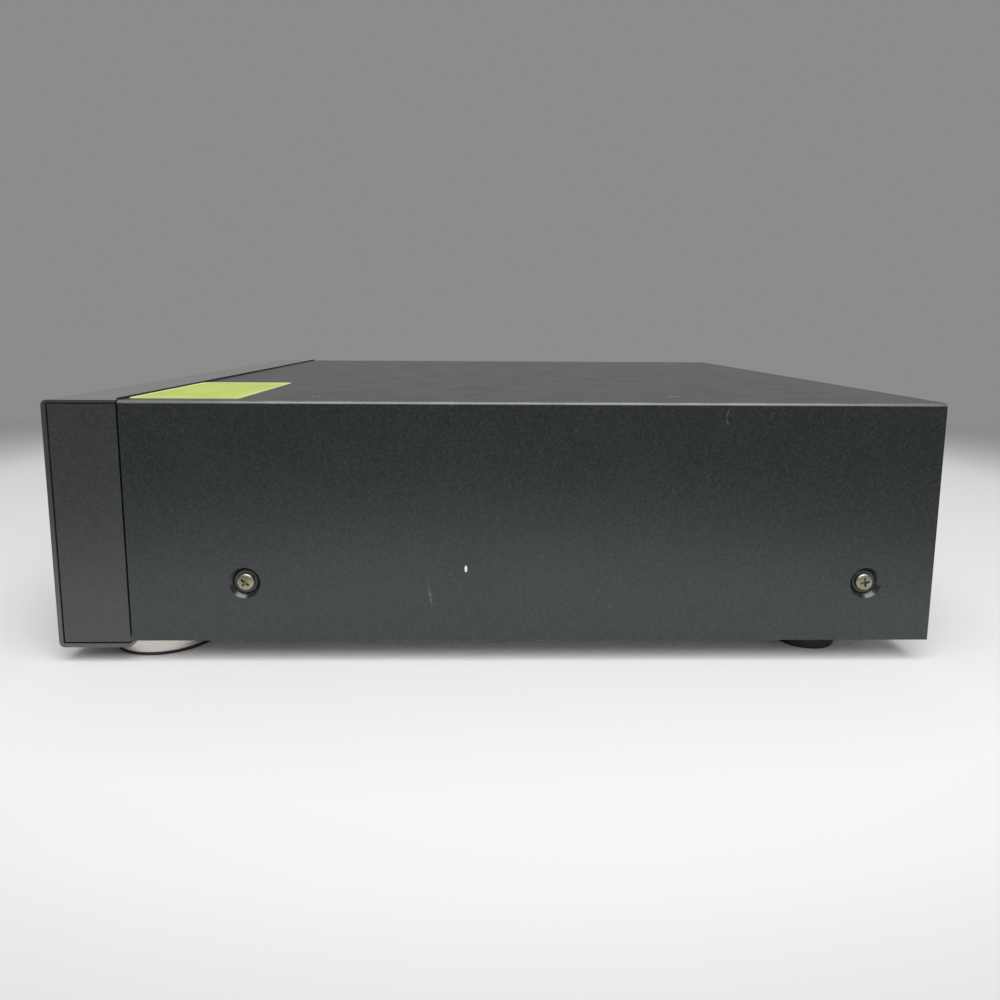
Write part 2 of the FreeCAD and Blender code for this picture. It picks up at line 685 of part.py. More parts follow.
def well_places():
    """Angle, X and depth of each well's centre; the first well is at the back, over the mechanism."""
    places = []
    for index in range(disc_count):
        angle = math.radians(90.0) + index * 2 * math.pi / disc_count
        places.append((angle, well_circle * math.cos(angle), d_carousel + well_circle * math.sin(angle)))
    return places


def pickup_slots(z_low, z_high):
    """The slots that let the turntable and the laser reach a disc, each open to the rim."""
    slots = []
    for angle, x, depth in well_places():
        slots.append(upright(x, depth, z_low, z_high, pickup_slot_width / 2))
        slot = Part.makeBox(carousel_radius, pickup_slot_width, z_high - z_low,
                            V(well_circle, -pickup_slot_width / 2, z_low))
        slot.rotate(V(0, 0, 0), V(0, 0, 1), math.degrees(angle))
        slots.append(placed(slot, 0, d_carousel, 0))
    return slots


def carousel():
    """The turning table up to the discs' ledge: floor with small wells and slots, hub, and ring gear below."""
    table = upright(0, d_carousel, carousel_z, ledge_z, carousel_radius)
    hollow = upright(0, d_carousel, carousel_z - 1.0, ledge_z - carousel_web, ring_radius - 5.0)
    hub = upright(0, d_carousel, drawer_floor_top + 0.8, ledge_z, carousel_hub_radius)
    wells = [upright(x, depth, small_well_z, rim_z, small_well_radius) for _, x, depth in well_places()]
    table = table.cut([hollow] + wells + pickup_slots(carousel_z - 1.0, rim_z))
    ring_height = carousel_lift - 4.0
    ring = placed(gear(ring_teeth, ring_module, ring_height), 0, d_carousel, carousel_z - ring_height)
    ring = ring.cut(upright(0, d_carousel, carousel_z - ring_height - 1.0, carousel_z + 1.0, ring_radius - 5.0))
    solid = fuse([table, hub, ring])
    return solid.cut(upright(0, d_carousel, drawer_floor_top, rim_z, pivot_radius + running_fit))


def carousel_well_walls():
    """The table's upper layer, which stands between the wells, in one equal segment for each gap."""
    layer = upright(0, d_carousel, ledge_z, rim_z, carousel_radius)
    wells = [upright(x, depth, ledge_z - 1.0, rim_z + 1.0, well_radius) for _, x, depth in well_places()]
    bore = upright(0, d_carousel, ledge_z - 1.0, rim_z + 1.0, pivot_radius + running_fit)
    layer = layer.cut([bore] + wells + pickup_slots(ledge_z - 1.0, rim_z + 1.0))
    step = 360.0 / disc_count
    segments = []
    for index in range(disc_count):
        sector = Part.makeCylinder(carousel_radius + 1.0, rim_z - ledge_z, V(0, 0, ledge_z), V(0, 0, 1), step)
        sector.rotate(V(0, 0, 0), V(0, 0, 1), 90.0 + index * step)
        segments.append(layer.common(placed(sector, 0, d_carousel, 0)))
    return Part.makeCompound(segments)


def carousel_cap():
    """The dished cap that keeps the carousel on its post."""
    low = rim_z + slide_gap
    cap = upright(0, d_carousel, low, low + 2.4, 22.0)
    cap = cap.fuse(Part.makeCone(22.0, 18.0, 1.8, V(0, y_at(d_carousel), low + 2.4)))
    seat = upright(0, d_carousel, low - 1.0, rim_z + 1.5, pivot_radius)
    dish = upright(0, d_carousel, low + 3.4, low + 5.0, 14.0)
    return cap.cut([seat, dish])


def carousel_motor():
    """The motor under the drawer floor that turns the carousel."""
    can = motor(carousel_motor_x, carousel_motor_d, drawer_floor_z - 17.0, drawer_floor_z + 1.5, 12.0, 1.0,
                carousel_belt_z() + belt_width + 1.0)
    ear = block((carousel_motor_x - 16.0, carousel_motor_x + 16.0), (carousel_motor_d - 4.0, carousel_motor_d + 4.0),
                (drawer_floor_z - 1.2, drawer_floor_z))
    return can.fuse(ear).removeSplitter()


def carousel_belt_z():
    return drawer_floor_top + 1.2


def carousel_motor_pulley():
    z = carousel_belt_z() - 0.8
    wheel = pulley(carousel_motor_x, carousel_motor_d, z, motor_pulley_radius, belt_width + 1.6)
    return wheel.cut(upright(carousel_motor_x, carousel_motor_d, z - 1.0, z + 9.0, 1.0 + running_fit))


def carousel_belt():
    first = (carousel_gear_x, y_at(carousel_gear_d))
    second = (carousel_motor_x, y_at(carousel_motor_d))
    return belt(first, carousel_pulley_radius, second, motor_pulley_radius, carousel_belt_z())


def carousel_drive_gear():
    """A pulley and pinion in one piece, in mesh with the carousel's ring gear."""
    z = carousel_belt_z() - 0.8
    height = belt_width + 1.6
    wheel = pulley(carousel_gear_x, carousel_gear_d, z, carousel_pulley_radius, height)
    gap_phase = 180.0 + carousel_gear_angle + 180.0 / carousel_gear_teeth
    pinion_low = z + height
    pinion = gear(carousel_gear_teeth, ring_module, carousel_z - 1.5 - pinion_low, gap_phase)
    pinion = placed(pinion, carousel_gear_x, carousel_gear_d, pinion_low)
    bore = upright(carousel_gear_x, carousel_gear_d, z - 1.0, carousel_z, 2.0 + running_fit)
    return wheel.fuse(pinion).removeSplitter().cut(bore)


# ---- rails, bridge and clamper -------------------------------------------------------------------
def guide_rail(side):
    """One upright rail: a web with foot and top flanges and two ribs that hold the runner."""
    runner_z = runner_level()
    top = bridge_z()
    web = (rail_web_half, rail_web_half + 3.0)
    depths = (3.0, d_drawer_end + 10.0)
    pieces = [block(web, depths, (base_top, top))]
    pieces.append(block((rail_half, web[1] + 9.0), depths, (base_top, base_top + 2.5)))
    pieces.append(block((rail_half, web[1] + 9.0), (d_spindle - 30.0, d_spindle + 30.0), (top - 2.5, top)))
    pieces.append(block((rail_half, web[0]), depths, (runner_z - slide_gap - 3.0, runner_z - slide_gap)))
    above = runner_z + runner_height + slide_gap
    pieces.append(block((rail_half, web[0]), depths, (above, above + 3.0)))
    for depth in (20.0, 120.0, d_drawer_end - 30.0):
        pieces.append(block((web[1], web[1] + 7.0), (depth, depth + 2.5), (base_top, runner_z)))
    rail = fuse(pieces)
    if side < 0:
        rail = rail.mirror(V(0, 0, 0), V(1, 0, 0))
    return rail


def bridge_z():
    return rim_z + 15.3


def clamper_bridge():
    """The pressed steel bridge over the drawer, with stiffening flanges and the clamper's hole."""
    reach = rail_web_half + 12.0
    depths = (d_spindle - 22.0, d_spindle + 22.0)
    low = bridge_z()
    plate = block((-reach, reach), depths, (low, low + sheet))
    flanges = []
    for depth in (depths[0], depths[1] - sheet):
        flanges.append(block((-reach + 26.0, reach - 26.0), (depth, depth + sheet), (low, low + 9.0)))
    bridge = fuse([plate] + flanges)
    return bridge.cut(upright(0, d_spindle, low - 1.0, low + sheet + 1.0, 11.0))


def disc_clamper():
    """The magnetic puck, trapped in the bridge by its neck between two flanges."""
    low = play_z + 1.5
    top = bridge_z() + sheet + slide_gap
    puck = upright(0, d_spindle, low, low + 4.0, 17.0)
    recess = upright(0, d_spindle, low - 1.0, low + 3.0, 8.6)
    neck = upright(0, d_spindle, low + 4.0, top, 10.2)
    flange = upright(0, d_spindle, top, top + 1.5, 15.0)
    return fuse([puck, neck, flange]).cut(recess)


# ---- loader chassis and its drive ----------------------------------------------------------------
def loader_chassis():
    """The moulded frame on the tray floor: hinge ears, slider guides, and the deck for the gears."""
    low = base_top + 3.0
    top = low + deck_thickness
    guide_low = d_slider - 2.6
    rear = block((-64.0, 64.0), (guide_low - 6.0, d_hinge + 8.0), (low, top))
    spine = block((-30.0, 30.0), (d_gears + 10.0, guide_low - 6.0), (low, top))
    deck_x = (rack_pitch_x - 11.0, motor_x + 17.0)
    deck_d = (5.0, d_gears + 22.0)
    deck = block(deck_x, deck_d, (deck_top - deck_thickness, deck_top))
    pieces = [rear, spine, deck]
    pieces.append(block((deck_x[0], motor_x - 20.0), (deck_d[1] - 3.0, deck_d[1]), (base_top, deck_top)))
    pieces.append(block((deck_x[0], deck_x[0] + 3.0), deck_d, (base_top, deck_top)))
    pieces.append(block((deck_x[1] - 3.0, deck_x[1]), deck_d, (base_top, deck_top)))
    pieces.append(block((-30.0, deck_x[1]), (d_gears + 10.0, deck_d[1]), (low, top)))
    for x in (-58.0, 58.0):
        for depth in (guide_low, d_hinge):
            pieces.append(upright(x, depth, base_top, low, 5.0))
    for x in (frame_half + 1.0, -frame_half - 5.0):
        pieces.append(block((x, x + 4.0), (d_hinge - 8.0, d_hinge + 8.0), (low, hinge_z + 6.0)))
    for depth in (guide_low, d_slider + 3.0 + slide_gap):
        pieces.append(block((-62.0, 62.0), (depth, depth + 2.3), (low, top + 4.0)))
    pieces.append(upright(drive_x, d_gears, deck_top, drive_gear_z() - slide_gap, 4.0))
    pieces.append(upright(drive_x, d_gears, deck_top, drawer_floor_z - 0.4, 2.0))
    pieces.append(upright(pulley_x, d_gears, deck_top, pulley_z() - slide_gap, 4.0))
    pieces.append(upright(pulley_x, d_gears, deck_top, rack_z - 0.4, 2.0))
    frame = fuse(pieces)
    tools = [along_x(d_hinge, hinge_z, -frame_half - 8.0, frame_half + 8.0, 2.5 + running_fit)]
    tools.append(upright(motor_x, d_gears, deck_top - 5.0, deck_top + 5.0, 7.0))
    tools.append(block((-40.0, 40.0), (d_slider + 30.0, d_hinge - 14.0), (low - 1.0, top + 1.0)))
    return frame.cut(tools)


def drive_gear_z():
    """Underside of the drive gear's large lower wheel."""
    return rack_z - slide_gap - 4.0


def pulley_z():
    return drive_gear_z() - 4.5


def loading_motor():
    """The loading motor, hung under the deck, with a square mounting flange."""
    low = deck_top - deck_thickness
    can = motor(motor_x, d_gears, low - 24.0, low + 1.5, 12.0, 1.0, pulley_z() + 4.2)
    flange = block((motor_x - 13.0, motor_x + 13.0), (d_gears - 13.0, d_gears + 13.0), (low - 1.2, low))
    return can.fuse(flange).removeSplitter()


def loading_motor_pulley():
    wheel = pulley(motor_x, d_gears, pulley_z(), motor_pulley_radius, 4.0)
    return wheel.cut(upright(motor_x, d_gears, pulley_z() - 1.0, pulley_z() + 5.0, 1.0 + running_fit))


def loading_belt():
    first = (pulley_x, y_at(d_gears))
    second = (motor_x, y_at(d_gears))
    return belt(first, pulley_radius, second, motor_pulley_radius, pulley_z() + 1.0)


def loading_pulley_gear():
    """The large pulley with its pinion on top."""
    wheel = pulley(pulley_x, d_gears, pulley_z(), pulley_radius, 4.0)
    collar = upright(pulley_x, d_gears, pulley_z() + 4.0, drive_gear_z(), 5.5)
    pinion = gear(pulley_pinion_teeth, reduction_module, 4.0, 180.0 / pulley_pinion_teeth)
    pinion = placed(pinion, pulley_x, d_gears, drive_gear_z())
    bore = upright(pulley_x, d_gears, pulley_z() - 1.0, rack_z + 1.0, 2.0 + running_fit)
    return fuse([wheel, collar, pinion]).cut(bore)


def loading_drive_gear():
    """A compound gear: the large wheel below, and the pinion above that drives the rack."""
    low = drive_gear_z()
    wheel = placed(gear(reduction_teeth, reduction_module, 4.0), drive_x, d_gears, low)
    pinion_z = low + 4.0
    pinion = gear(drive_teeth, rack_module, drawer_floor_z - slide_gap - pinion_z)
    pinion = placed(pinion, drive_x, d_gears, pinion_z)
    bore = upright(drive_x, d_gears, low - 1.0, drawer_floor_z + 1.0, 2.0 + running_fit)
    return wheel.fuse(pinion).removeSplitter().cut(bore)


# ---- lifting mechanism, modelled raised and then lowered about its hinge --------------------------
def lowered(shape):
    """Turns a piece of the mechanism from the playing position to rest."""
    shape.rotate(V(0, y_at(d_hinge), hinge_z), V(1, 0, 0), lift_angle)
    return shape


def lift_pin_z_at_rest():
    """Height of the lift pin, at the slider, with the mechanism down."""
    reach = d_hinge - d_slider - 1.5
    return hinge_z - reach * math.tan(math.radians(lift_angle))


def lift_cam_slider():
    """The plate with a slanting slot that raises the mechanism as it slides sideways."""
    low = base_top + 3.0 + deck_thickness + slide_gap
    plate = block((-14.0, lift_slide + 14.0), (d_slider, d_slider + 3.0), (low, hinge_z + 8.0))
    slot = loop_face((0, lift_pin_z_at_rest()), lift_pin_radius + 0.5, (lift_slide, hinge_z), lift_pin_radius + 0.5)
    slot = slot.extrude(V(0, 0, 8.0))
    slot.rotate(V(0, 0, 0), V(1, 0, 0), 90.0)
    slot.translate(V(0, y_at(d_slider) + 5.0, 0))
    corner = block((-15.0, lift_slide - 16.0), (d_slider - 1.0, d_slider + 4.0), (hinge_z - 2.0, hinge_z + 9.0))
    return plate.cut([slot, corner])


def mechanism_frame():
    """The moulded frame of the playing mechanism: open box, hinge arms, trunnions and lift pin."""
    outer = block((-frame_half, frame_half), (d_frame_front, d_frame_back), (frame_z, frame_top))
    inner_half = frame_half - frame_wall
    cavity = block((-inner_half, inner_half), (d_frame_front + frame_wall, d_frame_back - frame_wall),
                   (frame_z + 2.5, frame_top + 1.0))
    window = block((-30.0, 30.0), (d_spindle + 16.0, d_frame_back - 12.0), (frame_z - 1.0, frame_z + 4.0))
    box = outer.cut([cavity, window])
    arm_x = (frame_half - 7.0, frame_half)
    arm = block(arm_x, (d_frame_back - 6.0, d_hinge + 5.0), (hinge_z - 5.0, frame_top))
    arm_relief = block((arm_x[0] - 1.0, arm_x[1] + 1.0), (d_frame_back, d_hinge + 6.0), (hinge_z + 12.0, frame_top + 1.0))
    arm = arm.cut(arm_relief)
    trunnion = along_x(d_hinge, hinge_z, frame_half, frame_half + 5.0, 2.5)
    lug = block((-6.0, 6.0), (d_frame_front - 3.0, d_frame_front), (hinge_z - 4.0, frame_top))
    foot = block((-6.0, 6.0), (d_frame_front, d_frame_front + 6.0), (hinge_z - 4.0, frame_z))
    pin = along_y(0, hinge_z, d_slider - 3.5, d_frame_front - 3.0, lift_pin_radius)
    pillar = upright(0, d_spindle, frame_z + 2.5, frame_z + 4.0, 14.0)
    cradle = block((screw_x - 7.0, inner_half), (feed_motor_end() - 24.0, feed_motor_end() - 4.0),
                   (frame_z + 2.5, rod_z - 2.0))
    motor_seat = along_y(screw_x, rod_z, feed_motor_end() - 25.0, feed_motor_end(), feed_motor_radius + running_fit)
    cradle = cradle.cut(motor_seat)
    shape = fuse([box, lug, foot, pin, pillar, cradle] + both_sides(arm) + both_sides(trunnion))
    tools = [upright(0, d_spindle, frame_z - 1.0, frame_z + 5.0, 5.0)]
    for x in (-rod_x, rod_x):
        tools.append(along_y(x, rod_z, d_frame_front + 1.5, d_frame_back - 1.0, rod_radius))
    tools.append(along_y(screw_x, rod_z, d_frame_back - 4.0, d_frame_back - 1.0, rod_radius + running_fit))
    return shape.cut(tools)


def spindle_motor():
    """The flat disc motor below the frame, its shaft carrying the turntable."""
    seat = frame_z
    can = upright(0, d_spindle, seat - 12.0, seat, 12.5)
    neck = upright(0, d_spindle, seat, seat + 4.5, 4.5)
    shaft = upright(0, d_spindle, seat + 4.5, play_z + 1.0, 1.25)
    return fuse([can, neck, shaft])


def turntable():
    """The turntable: a flanged disc seat with a centring cone."""
    hub_low = frame_z + 5.0
    seat = upright(0, d_spindle, play_z - 2.2, play_z, 14.5)
    stem = upright(0, d_spindle, hub_low, play_z - 2.2, 5.5)
    cone = Part.makeCone(7.4, 5.8, 2.6, V(0, y_at(d_spindle), play_z))
    bore = upright(0, d_spindle, hub_low - 1.0, play_z + 4.0, 1.25 + running_fit)
    return fuse([seat, stem, cone]).cut(bore)


def laser_pickup():
    """The sled: carriage on two rods, optical block, lens, and the follower on the feed screw."""
    lens_d = d_spindle + pickup_inner_radius
    depths = (lens_d - 5.0, lens_d + 22.0)
    carriage = block((-rod_x - 4.0, rod_x + 4.0), depths, (rod_z - 4.0, frame_top - 1.0))
    optic = block((-15.0, 15.0), (depths[0], depths[1] - 4.0), (frame_top - 1.0, play_z - 4.0))
    lens_ring = upright(0, lens_d + 2.0, play_z - 4.0, play_z - 2.6, 6.5)
    lens = Part.makeSphere(5.0, V(0, y_at(lens_d + 2.0), play_z - 6.2))
    arm = block((rod_x + 4.0, screw_x + 3.4), (depths[1] - 9.0, depths[1]), (rod_z - 3.0, rod_z + 3.2))
    body = fuse([carriage, optic, lens_ring, lens, arm])
    bore = along_y(-rod_x, rod_z, depths[0] - 1.0, depths[1] + 1.0, rod_radius + running_fit)
    fork_gap = rod_radius + slide_gap
    fork = block((rod_x - fork_gap, rod_x + 5.0), (depths[0] - 1.0, depths[1] + 1.0), (rod_z - fork_gap, rod_z + fork_gap))
    screw_slot = block((screw_x - fork_gap, screw_x + 4.0), (depths[1] - 10.0, depths[1] + 1.0),
                       (rod_z - fork_gap, rod_z + fork_gap))
    return body.cut([bore, fork.cut(arm), screw_slot])


def sled_guide_rods():
    rods = []
    for x in (-rod_x, rod_x):
        rods.append(along_y(x, rod_z, d_frame_front + 1.5, d_frame_back - 1.0, rod_radius))
    return Part.makeCompound(rods)


def feed_screw():
    """The sled's lead screw, from its motor to the frame's back wall."""
    shaft = along_y(screw_x, rod_z, feed_motor_end() + slide_gap, d_frame_back - 1.2, rod_radius)
    collar = along_y(screw_x, rod_z, feed_motor_end() + slide_gap, feed_motor_end() + 3.0, 2.6)
    return shaft.fuse(collar).removeSplitter()


def feed_motor_end():
    return d_spindle + 6.0


def feed_motor():
    """The sled motor, lying on its seat in line with the lead screw."""
    can = along_y(screw_x, rod_z, feed_motor_end() - 26.0, feed_motor_end() - 1.5, feed_motor_radius)
    boss = along_y(screw_x, rod_z, feed_motor_end() - 1.5, feed_motor_end(), 3.0)
    return can.fuse(boss).removeSplitter()


# ---- electronics ---------------------------------------------------------------------------------
def main_circuit_board():
    """The main board on its spacers, with its larger components and its heat sink."""
    board_z = base_top + 8.0
    top = board_z + 1.6
    xs = (-rail_half + 8.0, -72.0)
    depths = (75.0, d_rear_panel - 12.0)
    pieces = [block(xs, depths, (board_z, top))]
    for x in (xs[0] + 6.0, xs[1] - 6.0):
        for depth in (depths[0] + 6.0, depths[1] - 6.0):
            pieces.append(block((x - 2.5, x + 2.5), (depth - 2.5, depth + 2.5), (base_top, board_z)))
    for x, depth, radius, height in ((-150, 120, 8, 22), (-128, 118, 6.5, 18), (-110, 122, 5, 12), (-150, 200, 5, 12),
                                     (-135, 205, 5, 12), (-92, 300, 6.5, 16)):
        pieces.append(upright(x, depth, top, top + height, radius))
    for x, depth, width, length in ((-120, 160, 24, 24), (-95, 230, 18, 18), (-140, 250, 14, 22), (-110, 330, 12, 20)):
        pieces.append(block((x - width / 2, x + width / 2), (depth - length / 2, depth + length / 2), (top, top + 2.4)))
    sink_x = xs[1] - 14.0
    for index in range(5):
        fin_x = sink_x - index * 4.0
        pieces.append(block((fin_x, fin_x + 1.5), (96.0, 136.0), (top, top + 24.0)))
    pieces.append(block((sink_x - 16.0, sink_x + 1.5), (114.0, 118.0), (top, top + 24.0)))
    return fuse(pieces)


def power_transformer():
    """The mains transformer: laminated core, wound bobbin and mounting feet."""
    x = inlet_x - 18.0
    depth = cover_depth - 80.0
    core = block((x - 27.0, x + 27.0), (depth - 11.0, depth + 11.0), (base_top, base_top + 45.0))
    bobbin = block((x - 17.0, x + 17.0), (depth - 22.0, depth + 22.0), (base_top + 9.0, base_top + 36.0))
    round_edges = edges_along(bobbin, V(0, 1, 0), lambda point: True) + edges_along(bobbin, V(0, 0, 1), lambda point: True)
    bobbin = bobbin.makeFillet(4.0, round_edges)
    feet = block((x - 35.0, x + 35.0), (depth - 8.0, depth + 8.0), (base_top, base_top + 1.5))
    return fuse([core, bobbin, feet])


def mains_inlet():
    """A two-pin appliance inlet: rounded shroud, flange outside the panel, and two contact pins."""
    outside = d_rear_panel + sheet
    flange_x = inlet_half_width + 5.0
    flange_z = inlet_half_height + 4.5
    flange = block((inlet_x - flange_x, inlet_x + flange_x), (outside, outside + 2.0),
                   (inlet_z - flange_z, inlet_z + flange_z))
    shroud_x = inlet_half_width + 2.0
    shroud_z = inlet_half_height + 2.0
    shroud = block((inlet_x - shroud_x, inlet_x + shroud_x), (outside - 17.0, outside),
                   (inlet_z - shroud_z, inlet_z + shroud_z))
    recess = loop_face((-inlet_half_width + inlet_half_height, 0), inlet_half_height,
                       (inlet_half_width - inlet_half_height, 0), inlet_half_height).extrude(V(0, 0, 20.0))
    recess.rotate(V(0, 0, 0), V(1, 0, 0), 90.0)
    recess.translate(V(inlet_x, y_at(outside - 13.0) + 20.0, inlet_z))
    body = flange.fuse(shroud).removeSplitter().cut(recess)
    pins = []
    for side in (-1, 1):
        x = inlet_x + side * inlet_pin_pitch / 2
        pins.append(along_y(x, inlet_z, outside - 14.0, outside - 2.0, inlet_pin_radius))
        pins.append(block((x - 1.5, x + 1.5), (outside - 22.0, outside - 17.0), (inlet_z - 0.4, inlet_z + 0.4)))
    return fuse([body] + pins)


def line_out_sockets():
    """The pair of phono sockets: two collared barrels outside the panel on one block behind it."""
    outside = d_rear_panel + sheet
    barrels = []
    for index in range(2):
        x = socket_x + index * socket_pitch
        barrels.append(along_y(x, socket_z, d_rear_panel - 1.0, outside + socket_collar, socket_collar_radius))
        barrels.append(along_y(x, socket_z, outside + socket_collar, outside + socket_proud, socket_radius))
    body_x = (socket_x - 9.0, socket_x + socket_pitch + 9.0)
    body = block(body_x, (d_rear_panel - 16.0, d_rear_panel), (base_top + 9.6, socket_z + 9.0))
    shape = fuse([body] + barrels)
    holes = []
    for index in range(2):
        x = socket_x + index * socket_pitch
        holes.append(along_y(x, socket_z, outside + 0.5, outside + socket_proud + 1.0, 1.65))
    return shape.cut(holes)


# ---- feet ----------------------------------------------------------------------------------------
def front_feet():
    """Two turned shells, slightly wider at the bottom, hollow from below round a screw boss."""
    feet = []
    for side in (-1, 1):
        centre = V(side * front_foot_x, y_at(front_foot_d), front_pad)
        shell = Part.makeCone(front_foot_radius, front_foot_radius - 0.8, foot_height - front_pad, centre)
        hollow = Part.makeCylinder(front_foot_radius - 2.5, foot_height - front_pad - 2.5, centre)
        boss = Part.makeCylinder(6.0, foot_height - front_pad - 2.5, centre)
        feet.append(shell.cut(hollow).fuse(boss).removeSplitter())
    return Part.makeCompound(feet)


def front_foot_pads():
    """The rubber discs under the front feet."""
    pads = []
    for side in (-1, 1):
        pad = upright(side * front_foot_x, front_foot_d, 0, front_pad, front_foot_radius - 0.5)
        pads.append(pad)
    return Part.makeCompound(pads)


def rear_feet():
    """Two moulded feet with a recessed fixing hole."""
    feet = []
    for side in (-1, 1):
        x = side * rear_foot_x
        foot = Part.makeCone(rear_foot_radius, rear_foot_radius + 1.0, foot_height, V(x, y_at(rear_foot_d), 0))
        feet.append(foot.cut(upright(x, rear_foot_d, -1.0, foot_height - 3.0, 4.0)))
    return Part.makeCompound(feet)


# ---- all nodes -----------------------------------------------------------------------------------
def build():
    os.makedirs("parts", exist_ok=True)
    plain = [top_cover, cover_side_screws, rear_screws, base_chassis, rear_panel, fascia_frame, front_subframe,
             display_window, display_tube, front_circuit_board, headphone_jack, headphone_level_knob, drawer_front,
             drawer_base, drawer_rack, carousel, carousel_well_walls, carousel_cap, carousel_motor,
             carousel_motor_pulley, carousel_belt, carousel_drive_gear, clamper_bridge, disc_clamper,
             loader_chassis, loading_motor, loading_motor_pulley, loading_belt, loading_pulley_gear,
             loading_drive_gear, lift_cam_slider, main_circuit_board, power_transformer, mains_inlet,
             line_out_sockets, front_feet, front_foot_pads, rear_feet]
    for make in plain:
        save(make.__name__, make())
    for make in (mechanism_frame, spindle_motor, turntable, laser_pickup, sled_guide_rods, feed_screw, feed_motor):
        save(make.__name__, lowered(make()))
    for name, side in (("left", -1), ("right", 1)):
        save(f"{name}_end_cap", end_cap(side))
        save(f"{name}_guide_rail", guide_rail(side))
    for name, place in buttons.items():
        save(name, button(place))


build()
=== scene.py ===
import bmesh
import bpy
import json
import math
from mathutils import Matrix, Vector


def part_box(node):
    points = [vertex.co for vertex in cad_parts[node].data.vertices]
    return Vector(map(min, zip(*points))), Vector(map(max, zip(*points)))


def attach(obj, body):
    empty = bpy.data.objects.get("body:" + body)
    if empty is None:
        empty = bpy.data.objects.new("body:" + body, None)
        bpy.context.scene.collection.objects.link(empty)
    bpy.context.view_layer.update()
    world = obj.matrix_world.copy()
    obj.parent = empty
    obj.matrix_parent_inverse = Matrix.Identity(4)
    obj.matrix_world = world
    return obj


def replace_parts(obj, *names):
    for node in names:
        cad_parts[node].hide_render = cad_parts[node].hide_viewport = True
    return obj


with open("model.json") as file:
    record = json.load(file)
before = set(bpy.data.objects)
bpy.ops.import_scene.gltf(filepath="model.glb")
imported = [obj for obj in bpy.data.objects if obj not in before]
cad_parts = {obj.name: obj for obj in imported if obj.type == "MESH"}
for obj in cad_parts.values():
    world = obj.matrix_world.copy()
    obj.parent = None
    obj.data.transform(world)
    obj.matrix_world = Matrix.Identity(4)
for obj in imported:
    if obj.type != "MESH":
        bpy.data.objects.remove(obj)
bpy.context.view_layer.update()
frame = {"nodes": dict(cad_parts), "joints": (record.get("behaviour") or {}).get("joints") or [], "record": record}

MM = 0.001
nodes = frame["nodes"]
record = frame["record"]

# ---- the view: a wide lens close to the right-hand side
CAMERA_PLACE = Vector((590.9, -5.4, 166.5)) * MM
CAMERA_YAW = math.radians(-1.04)
CAMERA_PITCH = math.radians(8.46)
CAMERA_ROLL = math.radians(0.34)
CAMERA_LENS = 28.3
CAMERA_SENSOR = 36.0
CAMERA_SHIFT_Y = -0.057

# ---- places and sizes: small letters in metres, capitals in mm unless they are counts, turns or shares
cover_low, cover_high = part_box("top_cover")
fascia_low, fascia_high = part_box("fascia_frame")
panel_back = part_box("rear_panel")[1].y
SIDE_X = round(cover_high.x / MM, 1)
TOP_Z = round(cover_high.z / MM, 1)
BEND_RADIUS = 1.8

# Screw heads: radius, height, then the cross's arm, half width and depth. Shanks: radius and length.
SIDE_HEAD = (4.4, 2.1, 2.9, 0.72, 1.6)
SIDE_SHANK = (1.9, 7.0)
SIDE_SCREW_INSET = 4.0
SIDE_SCREW_SPINS = (0.35, -0.2, 0.9, 0.15)
DIMPLE_DEPTH = 2.6
REAR_HEAD = (3.2, 1.8, 2.1, 0.52, 1.2)
REAR_SHANK = (1.5, 6.0)
LIP_SCREW_INSET = 30.0
PANEL_SCREW_INSET = 20.0
PANEL_SCREW_XS = (-40.0, 60.0)

# A black strip in the gap behind the fascia: painted shade for the gap and the fascia's raised rear face.
SHADE_STRIP_WIDTH = 0.8
SHADE_STRIP_RISE = 0.9
SHADE_STRIP_DEPTH = 2.0

# Marks stand this far proud of their face, with their backs sunk a little into it.
MARK_HEIGHT = 0.07
MARK_SUNK = 0.02
KEY_NUMERAL = 3.6
CAROUSEL_NUMERAL = 9.0
CAROUSEL_NUMERAL_INSET = 11.5
DIGIT_SHARE = 0.72  # a digit's height as a share of its font's size
LEVEL_DOT_RING = 11.0
KNOB_RIBS = 60
DISPLAY_DIGIT_XS = (-44.0, -35.0, 8.0, 17.0, 30.0, 39.0)

STICKER_LOW = Vector((103.0, -179.0, TOP_Z))
STICKER_HIGH = Vector((207.6, -125.0, TOP_Z))
STICKER_THICKNESS = 0.12
STICKER_CORNER = 0.6
STICKER_GRID = (42, 22)

# The main board: capacitors as x, y and radius, the heat sink as a centre and half sizes. Then the
# transformer's core by its y and half depth.
BOARD_TOP = 22.3
TALLEST_CHIP = 24.9
CAPACITORS = ((-150, -59.9, 9.2), (-128, -61.9, 7.6), (-110, -57.9, 6.0), (-150, 20.1, 6.0),
              (-135, 25.1, 6.0), (-92, 120.1, 7.6))
HEAT_SINK = ((-95.0, -64.0, 33.0), (24.0, 46.0, 26.0))
TRANSFORMER_Y = 137.1
CORE_HALF = 11.05
INLET_PIN_PITCH = 8.6

# The playing mechanism: heights are those of its raised, playing place.
PLAY_HEIGHT = 91.5
LENS_SEAT = PLAY_HEIGHT - 2.6
LENS_FROM_SPINDLE = 25.0
LENS_RADIUS = 2.6
LENS_RISE = 1.1
FEED_LEAD = 3.0
FEED_RADIUS = 1.5
FEED_THREAD_DEPTH = 0.38
FEED_COLLAR = 2.6
FEED_COLLAR_LENGTH = 2.7
FEED_SEGMENTS = 28

# Phono sockets: x of each, its name and its washer's finish.
SOCKETS = ((-140.0, "left", "ring_white"), (-124.0, "right", "ring_red"))
SOCKET_Z = 38.7
SOCKET_COLLAR = 5.35

